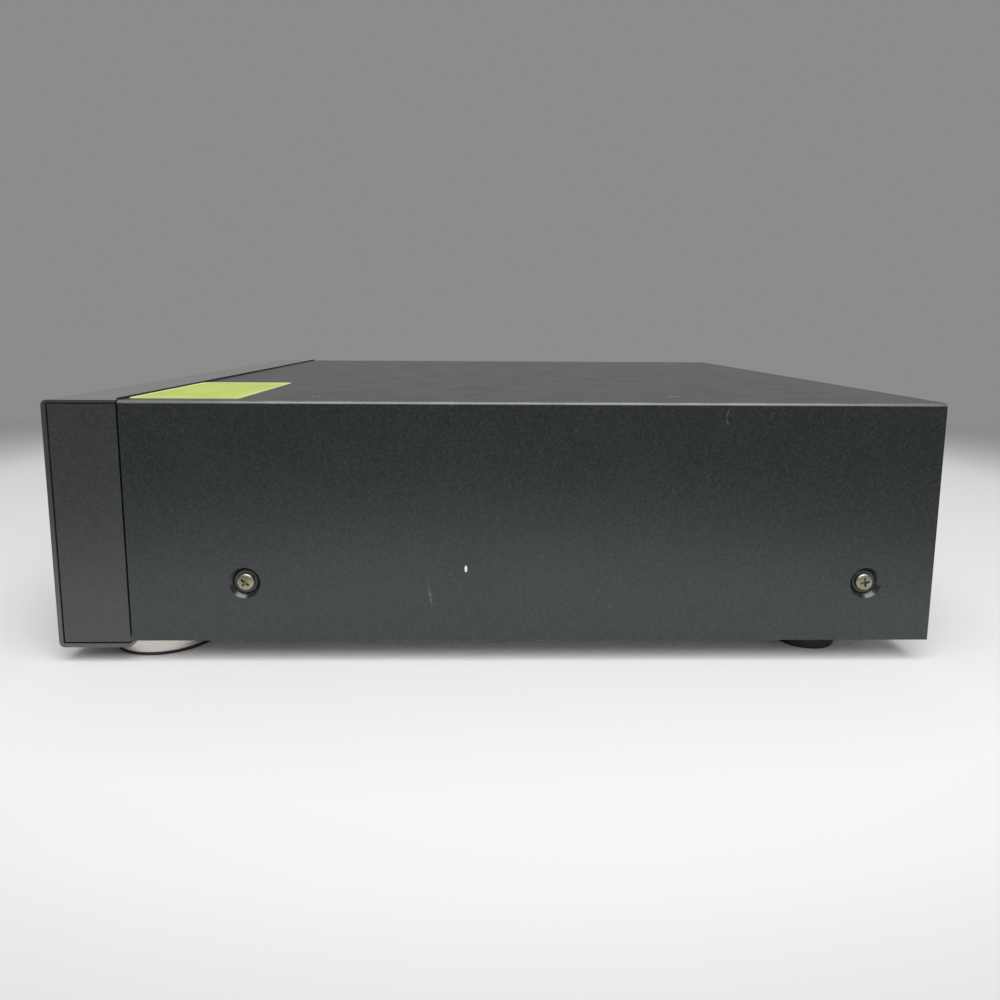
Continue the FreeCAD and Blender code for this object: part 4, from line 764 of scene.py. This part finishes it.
# ---- the black strip between fascia and cover: painted shade for the gap, standing in for the fascia's raised rear face
def fascia_seal():
    """A thin black strip in the gap along the fascia's rear top edge, standing a little above the cover: painted
    shade for the gap, and a stand-in for the fascia's raised rear face.
    """
    half = cover_high.x - BEND_RADIUS * MM
    front = fascia_high.y + 0.05 * MM
    back = front + SHADE_STRIP_WIDTH * MM
    foot = fascia_high.z - SHADE_STRIP_DEPTH * MM
    crown = fascia_high.z + SHADE_STRIP_RISE * MM
    corner = 0.2 * MM
    outline = [(front, foot), (back, foot), (back, crown - corner), (back - corner, crown), (front, crown)]

    def build(bm):
        ends = [[bm.verts.new((x, y, z)) for y, z in outline] for x in (-half, half)]
        bm.faces.new(ends[0])
        bm.faces.new(ends[1][::-1])
        bridge(bm, ends)

    finish_piece(mesh_from("fascia_seal", build), FINISHES["foot_rubber"], "cabinet")


# ---- flat marks: symbols, numerals and segments
def facing_front(x, y, z):
    """A placement whose local X is right and local Y is up, on a face towards the front; metres."""
    return Matrix.Translation((x, y, z)) @ Matrix.Rotation(math.pi / 2, 4, "X")


def mark(name, outlines, place, material, body):
    """Thin plates of closed outlines in mm, standing just proud of the face that they lie on."""
    def build(bm):
        for outline in outlines:
            prism(bm, outline, -MARK_SUNK, MARK_HEIGHT, place)

    finish_piece(mesh_from(name, build), material, body)


def numeral(name, text, height, place, body):
    """A number in Blender's own typeface, centred on its place."""
    curve = bpy.data.curves.new(name, "FONT")
    curve.body = text
    curve.size = height * MM / DIGIT_SHARE
    curve.extrude = MARK_HEIGHT * MM / 2
    curve.align_x = "CENTER"
    curve.align_y = "CENTER"
    source = new_object(name + "_curve", curve)
    mesh = solid_copy(source)
    bpy.data.objects.remove(source)
    mesh.transform(place)
    finish_piece(new_object(name, mesh), EXTRAS["print_white"], body)


def triangle(x, length, half):
    """Points right from its back at x; a negative length points left."""
    corners = [(x, -half), (x + length, 0), (x, half)]
    return corners if length > 0 else corners[::-1]


def bar(x, y, width, height):
    """A rectangle from its lower left corner."""
    return [(x, y), (x + width, y), (x + width, y + height), (x, y + height)]


def band(radius, width, start, end, centre=(0.0, 0.0)):
    """Part of a ring between two angles in degrees."""
    def arc(reach, first, last):
        turns = [math.radians(first + (last - first) * step / 24) for step in range(25)]
        return [(centre[0] + reach * math.cos(turn), centre[1] + reach * math.sin(turn)) for turn in turns]

    return arc(radius + width / 2, start, end) + arc(radius - width / 2, end, start)


def dot(x, y, radius):
    return [(x + radius * math.cos(angle), y + radius * math.sin(angle)) for angle in around(16)]


KEY_SYMBOLS = {
    "power": [band(2.3, 0.5, 125, 415), bar(-0.25, 0.7, 0.5, 2.4)],
    "previous": [bar(-2.9, -1.4, 0.55, 2.8), triangle(-0.1, -2.2, 1.4), triangle(2.3, -2.2, 1.4)],
    "next": [triangle(-2.3, 2.2, 1.4), triangle(0.1, 2.2, 1.4), bar(2.35, -1.4, 0.55, 2.8)],
    "stop": [bar(-1.5, -1.5, 3.0, 3.0)],
    "play_pause": [triangle(-3.4, 3.0, 1.7), bar(0.9, -1.7, 0.8, 3.4), bar(2.5, -1.7, 0.8, 3.4)],
    "open_close": [[(-2.1, -0.5), (2.1, -0.5), (0, 1.6)], bar(-2.1, -1.7, 4.2, 0.7)],
}


def key_face(name):
    """The middle of a key's front."""
    low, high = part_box(name)
    return facing_front((low.x + high.x) / 2, low.y, (low.z + high.z) / 2)


def key_marks():
    """A symbol or a number on each key, moving with it."""
    for key, outlines in KEY_SYMBOLS.items():
        body = f"{key}_button"
        mark(f"{key}_symbol", outlines, key_face(body), EXTRAS["print_white"], body)
    for number in range(1, 6):
        body = f"disc_{number}_button"
        numeral(f"disc_{number}_numeral", str(number), KEY_NUMERAL, key_face(body), body)


def fascia_marks():
    """Level dots round the headphone knob, and a headphone sign over the jack."""
    knob = middle("headphone_level_knob")
    place = facing_front(knob.x, fascia_low.y, knob.z)
    dots = []
    for step in range(11):
        angle = math.radians(240 - 30 * step)
        size = 0.75 if step in (0, 5, 10) else 0.5
        dots.append(dot(LEVEL_DOT_RING * math.cos(angle), LEVEL_DOT_RING * math.sin(angle), size))
    mark("level_dots", dots, place, EXTRAS["print_grey"], "cabinet")
    jack_low, jack_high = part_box("headphone_jack")
    place = facing_front((jack_low.x + jack_high.x) / 2, fascia_low.y, jack_high.z + 4.5 * MM)
    cups = [band(2.6, 0.5, 0, 180), bar(-3.2, -2.0, 1.1, 2.2), bar(2.1, -2.0, 1.1, 2.2)]
    mark("headphone_sign", cups, place, EXTRAS["print_grey"], "cabinet")


def knob_details():
    """A pale pointer in the knob's notch and a finely ribbed grip round it."""
    low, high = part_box("headphone_level_knob")
    centre = (low + high) / 2
    radius = (high.x - low.x) / 2
    mark("knob_pointer", [bar(-0.42, 2.3, 0.84, 5.0)],
         facing_front(centre.x, low.y + 0.55 * MM, centre.z), EXTRAS["print_white"], "headphone_level_knob")

    def ring(bm, y, rise):
        verts = []
        for index, angle in enumerate(around(2 * KNOB_RIBS)):
            reach = radius + (-0.10 if index % 2 else rise) * MM
            point = (centre.x + reach * math.cos(angle), y, centre.z + reach * math.sin(angle))
            verts.append(bm.verts.new(point))
        return verts

    def build(bm):
        bridge(bm, [ring(bm, low.y + 1.6 * MM, -0.10), ring(bm, low.y + 2.0 * MM, 0.28),
                    ring(bm, high.y - 1.4 * MM, 0.28), ring(bm, high.y - 1.0 * MM, -0.10)])

    ribs = mesh_from("knob_grip", build, 20.0)
    finish_piece(ribs, FINISHES["knob_metal"], "headphone_level_knob")


# ---- the display behind the window
def seven_segments(x, y, width, height, stroke):
    """The seven bars of one digit, centred on x and y, with mitred ends."""
    half = stroke / 2
    gap = 0.12

    def flat(cx, cy, length):
        reach = length / 2 - gap
        return [(cx - reach, cy), (cx - reach + half, cy - half), (cx + reach - half, cy - half),
                (cx + reach, cy), (cx + reach - half, cy + half), (cx - reach + half, cy + half)]

    def upright(cx, cy, length):
        reach = length / 2 - gap
        return [(cx, cy - reach), (cx + half, cy - reach + half), (cx + half, cy + reach - half),
                (cx, cy + reach), (cx - half, cy + reach - half), (cx - half, cy - reach + half)]

    bars = [flat(x, y + rise * height / 2, width) for rise in (-1, 0, 1)]
    for side in (-1, 1):
        for rise in (-1, 1):
            bars.append(upright(x + side * width / 2, y + rise * height / 4, height / 2))
    return bars


def display_segments():
    """The unlit pattern of the display: disc places, track digits and time digits."""
    low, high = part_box("display_tube")
    glass_low = low.x + 3.0 * MM
    place = facing_front((glass_low + high.x) / 2, low.y, (low.z + high.z) / 2)
    outlines = []
    for x in DISPLAY_DIGIT_XS:
        outlines += seven_segments(x, -2.0, 5.4, 10.4, 1.0)
    outlines += [dot(23.5, -4.2, 0.6), dot(23.5, 0.4, 0.6)]
    for column in range(5):
        x = -22.0 + column * 5.6
        outlines.append(band(1.9, 0.35, 0, 359.9, centre=(x, 0.6)))
        outlines.append(bar(x - 1.5, -5.6, 3.0, 1.2))
    for column in range(15):
        outlines.append(bar(-46.0 + column * 6.2, 8.0, 4.4, 0.7))
    mark("display_segments", outlines, place, EXTRAS["segment_grey"], "cabinet")


# ---- the sticker
def top_sticker():
    """A thin blank sheet with clipped corners, not quite flat, its edges lifting a little."""
    low, high = STICKER_LOW, STICKER_HIGH
    centre = (low + high) / 2
    columns, rows = STICKER_GRID

    def lift(x, y):
        from_edge = min(x - low.x, high.x - x, y - low.y, high.y - y)
        ripple = 0.04 * math.sin(x * 0.21 + 0.7) * math.cos(y * 0.17)
        return max(0.0, ripple) + 0.16 * max(0.0, 1.0 - from_edge / 3.5) ** 2

    def grid(bm, upper):
        lines = []
        for row in range(rows + 1):
            line = []
            for column in range(columns + 1):
                x = low.x + (high.x - low.x) * column / columns
                y = low.y + (high.y - low.y) * row / rows
                if column in (0, columns) and row in (0, rows):
                    x += math.copysign(STICKER_CORNER, centre.x - x)
                    y += math.copysign(STICKER_CORNER, centre.y - y)
                height = STICKER_THICKNESS + lift(x, y) if upper else 0.0
                line.append(bm.verts.new((x * MM, y * MM, (low.z + 0.005 + height) * MM)))
            lines.append(line)
        return lines

    def build(bm):
        under, over = (grid(bm, upper) for upper in (False, True))
        for layer in (under, over):
            for line, after in zip(layer, layer[1:]):
                for column in range(columns):
                    bm.faces.new([line[column], line[column + 1], after[column + 1], after[column]])
        border = [(0, c) for c in range(columns)] + [(r, columns) for r in range(rows)]
        border += [(rows, c) for c in range(columns, 0, -1)] + [(r, 0) for r in range(rows, 0, -1)]
        bridge(bm, [[layer[r][c] for r, c in border] for layer in (under, over)])

    finish_piece(mesh_from("top_sticker", build, 50.0), EXTRAS["sticker_yellow"], "cabinet")


# ---- the drawer's numerals, the lens and the lead screw
def carousel_numerals():
    """A number between each two disc places, on the table's top."""
    low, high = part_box("carousel_well_walls")
    centre = (low + high) / 2
    radius = (high.x - low.x) / 2 - CAROUSEL_NUMERAL_INSET * MM
    for number in range(1, 6):
        angle = math.radians(90 + 72 * (number - 1) + 36)
        point = Vector((centre.x + radius * math.cos(angle), centre.y + radius * math.sin(angle), high.z))
        place = Matrix.Translation(point) @ Matrix.Rotation(angle + math.pi / 2, 4, "Z")
        numeral(f"carousel_numeral_{number}", str(number), CAROUSEL_NUMERAL, place, "carousel")


def joint(name):
    """A joint's entry in the frame."""
    return next(entry for entry in frame["joints"] if entry["name"] == name)


def resting_mechanism():
    """The turn from the playing mechanism's raised place down to its resting one."""
    hinge = joint("mechanism_lift")
    anchor = Vector(hinge["pos_m"])
    turn = Matrix.Rotation(-math.radians(hinge["range_deg"][1]), 4, Vector(hinge["axis"]))
    return Matrix.Translation(anchor) @ turn @ Matrix.Translation(-anchor)


def pickup_lens():
    """The objective lens with its holder ring, on the sled."""
    down = resting_mechanism()
    spindle_y = (down.inverted() @ Vector(joint("spindle_spin")["pos_m"])).y
    place = down @ Matrix.Translation(Vector((0, spindle_y + LENS_FROM_SPINDLE * MM, LENS_SEAT * MM)))
    dome = [(0.0, -0.6), (LENS_RADIUS, -0.6)]
    for step in range(8):
        angle = math.radians(90 * step / 8)
        dome.append((LENS_RADIUS * math.cos(angle), LENS_RISE * math.sin(angle)))
    dome.append((0, LENS_RISE))
    ring = [(2.6, -0.5), (2.6, 0.35), (3.3, 0.55), (4.3, 0.35), (4.6, 0.0), (4.6, -0.5), (2.6, -0.5)]
    glass = mesh_from("pickup_lens", lambda bm: lathe(bm, dome, 40, place))
    finish_piece(glass, EXTRAS["lens_blue"], "laser_pickup")
    holder = mesh_from("pickup_lens_holder", lambda bm: lathe(bm, ring, 40, place))
    finish_piece(holder, FINISHES["jack_black"], "laser_pickup")


def threaded_feed_screw():
    """The sled's lead screw with its thread, which replaces the plain rod."""
    turn = joint("feed_screw_turn")
    axis = Vector(turn["axis"])
    low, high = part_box("feed_screw")
    anchor = Vector(turn["pos_m"])
    start = (low.y + FEED_COLLAR * MM * abs(axis.z) - anchor.y) / axis.y
    end = (high.y - FEED_RADIUS * MM * abs(axis.z) - anchor.y) / axis.y
    place = along(axis, anchor + axis * start)
    length = (end - start) / MM
    rows = int(length / FEED_LEAD * 10)

    def radius_at(height, share, plain):
        """The thread's radius at a height and a share of the turn."""
        phase = (height / FEED_LEAD - share) % 1.0
        tooth = min(1.0, max(0.0, 1.6 - 5.0 * abs(phase - 0.5)))
        return FEED_RADIUS - (0.0 if plain else FEED_THREAD_DEPTH * (1.0 - tooth))

    def build(bm):
        rings = []
        for row in range(rows + 1):
            height = FEED_COLLAR_LENGTH + (length - FEED_COLLAR_LENGTH) * row / rows
            ring = []
            for index, angle in enumerate(around(FEED_SEGMENTS)):
                reach = radius_at(height, index / FEED_SEGMENTS, row < 4 or row > rows - 4)
                point = Vector((reach * math.cos(angle), reach * math.sin(angle), height)) * MM
                ring.append(bm.verts.new(place @ point))
            rings.append(ring)
        bridge(bm, rings)
        bm.faces.new(rings[0][::-1])
        bm.faces.new(rings[-1])
        collar = [(0, 0), (2.3, 0), (FEED_COLLAR, 0.3), (FEED_COLLAR, 2.4), (2.3, 2.7), (0, 2.7)]
        lathe(bm, collar, FEED_SEGMENTS, place)

    piece = mesh_from("threaded_feed_screw", build, 50.0)
    finish_piece(piece, FINISHES["rod_steel"], "feed_screw")
    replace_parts(piece, "feed_screw")


# ---- rear sockets
def socket_rings():
    """A coloured washer round each phono collar and a pale insulator inside its barrel."""
    bore = SOCKET_COLLAR + 0.1
    washer = [(bore, 0.02), (7.2, 0.02), (7.2, 0.7), (6.9, 1.0), (bore, 1.0), (bore, 0.02)]
    insulator = [(1.66, 7.9), (3.3, 7.9), (3.3, 9.03), (1.66, 9.03), (1.66, 7.9)]
    for x, side, finish in SOCKETS:
        place = along((0, 1, 0), Vector((x * MM, panel_back, SOCKET_Z * MM)))
        ring = mesh_from(f"{side}_socket_ring", lambda bm: lathe(bm, washer, 48, place))
        finish_piece(ring, EXTRAS[finish], "cabinet")
        disc = mesh_from(f"{side}_socket_insulator", lambda bm: lathe(bm, insulator, 40, place))
        finish_piece(disc, EXTRAS["socket_insulator"], "cabinet")


# ---- floor, light and camera
def floor_finish():
    """Pale near the object and darker with distance, a painted pool of light, and one with the horizon at the far
    edge.
    """
    finish = Finish("floor_pale", roughness=0.8, specular=0.2)
    offset = finish.add("ShaderNodeVectorMath", operation="SUBTRACT")
    finish.feed(offset.inputs[0], finish.place)
    offset.inputs[1].default_value = FLOOR_CENTRE
    distance = finish.add("ShaderNodeVectorMath", operation="LENGTH")
    finish.feed(distance.inputs[0], offset.outputs[0])
    away = distance.outputs["Value"]
    near = blend_colours(finish, FLOOR_NEAR, [value * 0.985 for value in FLOOR_NEAR], 2.0)
    finish.colour(finish.mix(finish.ramp(away, *FLOOR_FADE), near, FLOOR_FAR))
    horizon = finish.add("ShaderNodeEmission")
    horizon.inputs["Color"].default_value = (*HORIZON, 1.0)
    mixer = finish.add("ShaderNodeMixShader")
    finish.feed(mixer.inputs[0], finish.ramp(away, *HORIZON_BLEND))
    finish.feed(mixer.inputs[1], finish.shader.outputs[0])
    finish.feed(mixer.inputs[2], horizon.outputs[0])
    finish.feed(finish.tree.nodes["Material Output"].inputs["Surface"], mixer.outputs[0])
    return finish.material


def add_floor():
    """A wide round floor."""
    def build(bm):
        rings = [[bm.verts.new((radius * math.cos(angle), radius * math.sin(angle), 0))
                  for angle in around(FLOOR_SEGMENTS)] for radius in FLOOR_RADII]
        bm.faces.new(rings[0])
        bridge(bm, rings)

    floor = mesh_from("studio_floor", build)
    floor.data.materials.append(floor_finish())


def add_world():
    """Plain ambient light; the camera, reflections and glass see the mid-grey backdrop instead."""
    world = bpy.data.worlds.new("studio")
    bpy.context.scene.world = world
    world.use_nodes = True
    tree = world.node_tree
    ambient = tree.nodes["Background"]
    ambient.inputs["Color"].default_value = (*AMBIENT, 1.0)
    backdrop = tree.nodes.new("ShaderNodeBackground")
    backdrop.inputs["Color"].default_value = (*HORIZON, 1.0)
    path = tree.nodes.new("ShaderNodeLightPath")
    seen = path.outputs["Is Camera Ray"]
    for ray in ("Is Glossy Ray", "Is Transmission Ray"):
        either = tree.nodes.new("ShaderNodeMath")
        either.operation = "MAXIMUM"
        tree.links.new(seen, either.inputs[0])
        tree.links.new(path.outputs[ray], either.inputs[1])
        seen = either.outputs[0]
    mixer = tree.nodes.new("ShaderNodeMixShader")
    tree.links.new(seen, mixer.inputs[0])
    tree.links.new(ambient.outputs[0], mixer.inputs[1])
    tree.links.new(backdrop.outputs[0], mixer.inputs[2])
    tree.links.new(mixer.outputs[0], tree.nodes["World Output"].inputs[0])


def add_softbox():
    """One square lamp, turned to the origin."""
    lamp = bpy.data.lights.new("softbox", "AREA")
    lamp.shape = "SQUARE"
    lamp.size = SOFTBOX_SIZE
    lamp.energy = SOFTBOX_WATTS
    softbox = new_object("softbox", lamp)
    softbox.location = SOFTBOX_PLACE
    softbox.rotation_euler = Vector(SOFTBOX_PLACE).to_track_quat("Z", "Y").to_euler()


def add_camera():
    """The camera from its place and its three turns."""
    data = bpy.data.cameras.new("camera")
    data.lens = CAMERA_LENS
    data.sensor_width = CAMERA_SENSOR
    data.shift_y = CAMERA_SHIFT_Y
    data.clip_start = 0.01
    level = math.cos(CAMERA_PITCH)
    forward = Vector((-math.cos(CAMERA_YAW) * level, -math.sin(CAMERA_YAW) * level, -math.sin(CAMERA_PITCH)))
    right = Vector((-math.sin(CAMERA_YAW), math.cos(CAMERA_YAW), 0))
    up = right.cross(forward)
    turned_right = right * math.cos(CAMERA_ROLL) + up * math.sin(CAMERA_ROLL)
    turned_up = up * math.cos(CAMERA_ROLL) - right * math.sin(CAMERA_ROLL)
    rotation = Matrix((turned_right, turned_up, -forward)).transposed()
    camera = new_object("camera", data)
    camera.matrix_world = Matrix.Translation(CAMERA_PLACE) @ rotation.to_4x4()
    bpy.context.scene.camera = camera


def dress_frame():
    """Gives each CAD node the finish of its slot."""
    for entry in record["subparts"]:
        nodes[entry["node"]].material_slots[0].material = FINISHES[entry["material_slot"]]


# ---- the scene
bpy.context.scene.view_settings.view_transform = "Standard"
add_camera()
add_floor()
add_world()
add_softbox()

FINISHES = {
    **table_finishes(moulded, MOULDED), **table_finishes(plated, PLATED), **table_finishes(brushed, BRUSHED),
}
for make in (black_paint, fascia_black, cap_black, window_smoke, jack_black, circuit_green, transformer_iron):
    FINISHES[make.__name__] = make()
EXTRAS = table_finishes(moulded, SMALL)
EXTRAS["sticker_yellow"] = sticker_yellow()
dress_frame()

for name, width in SOFT_EDGES.items():
    soften(name, width)
cover_screws()
back_screws()
fascia_seal()
key_marks()
fascia_marks()
knob_details()
display_segments()
top_sticker()
carousel_numerals()
pickup_lens()
threaded_feed_screw()
socket_rings()
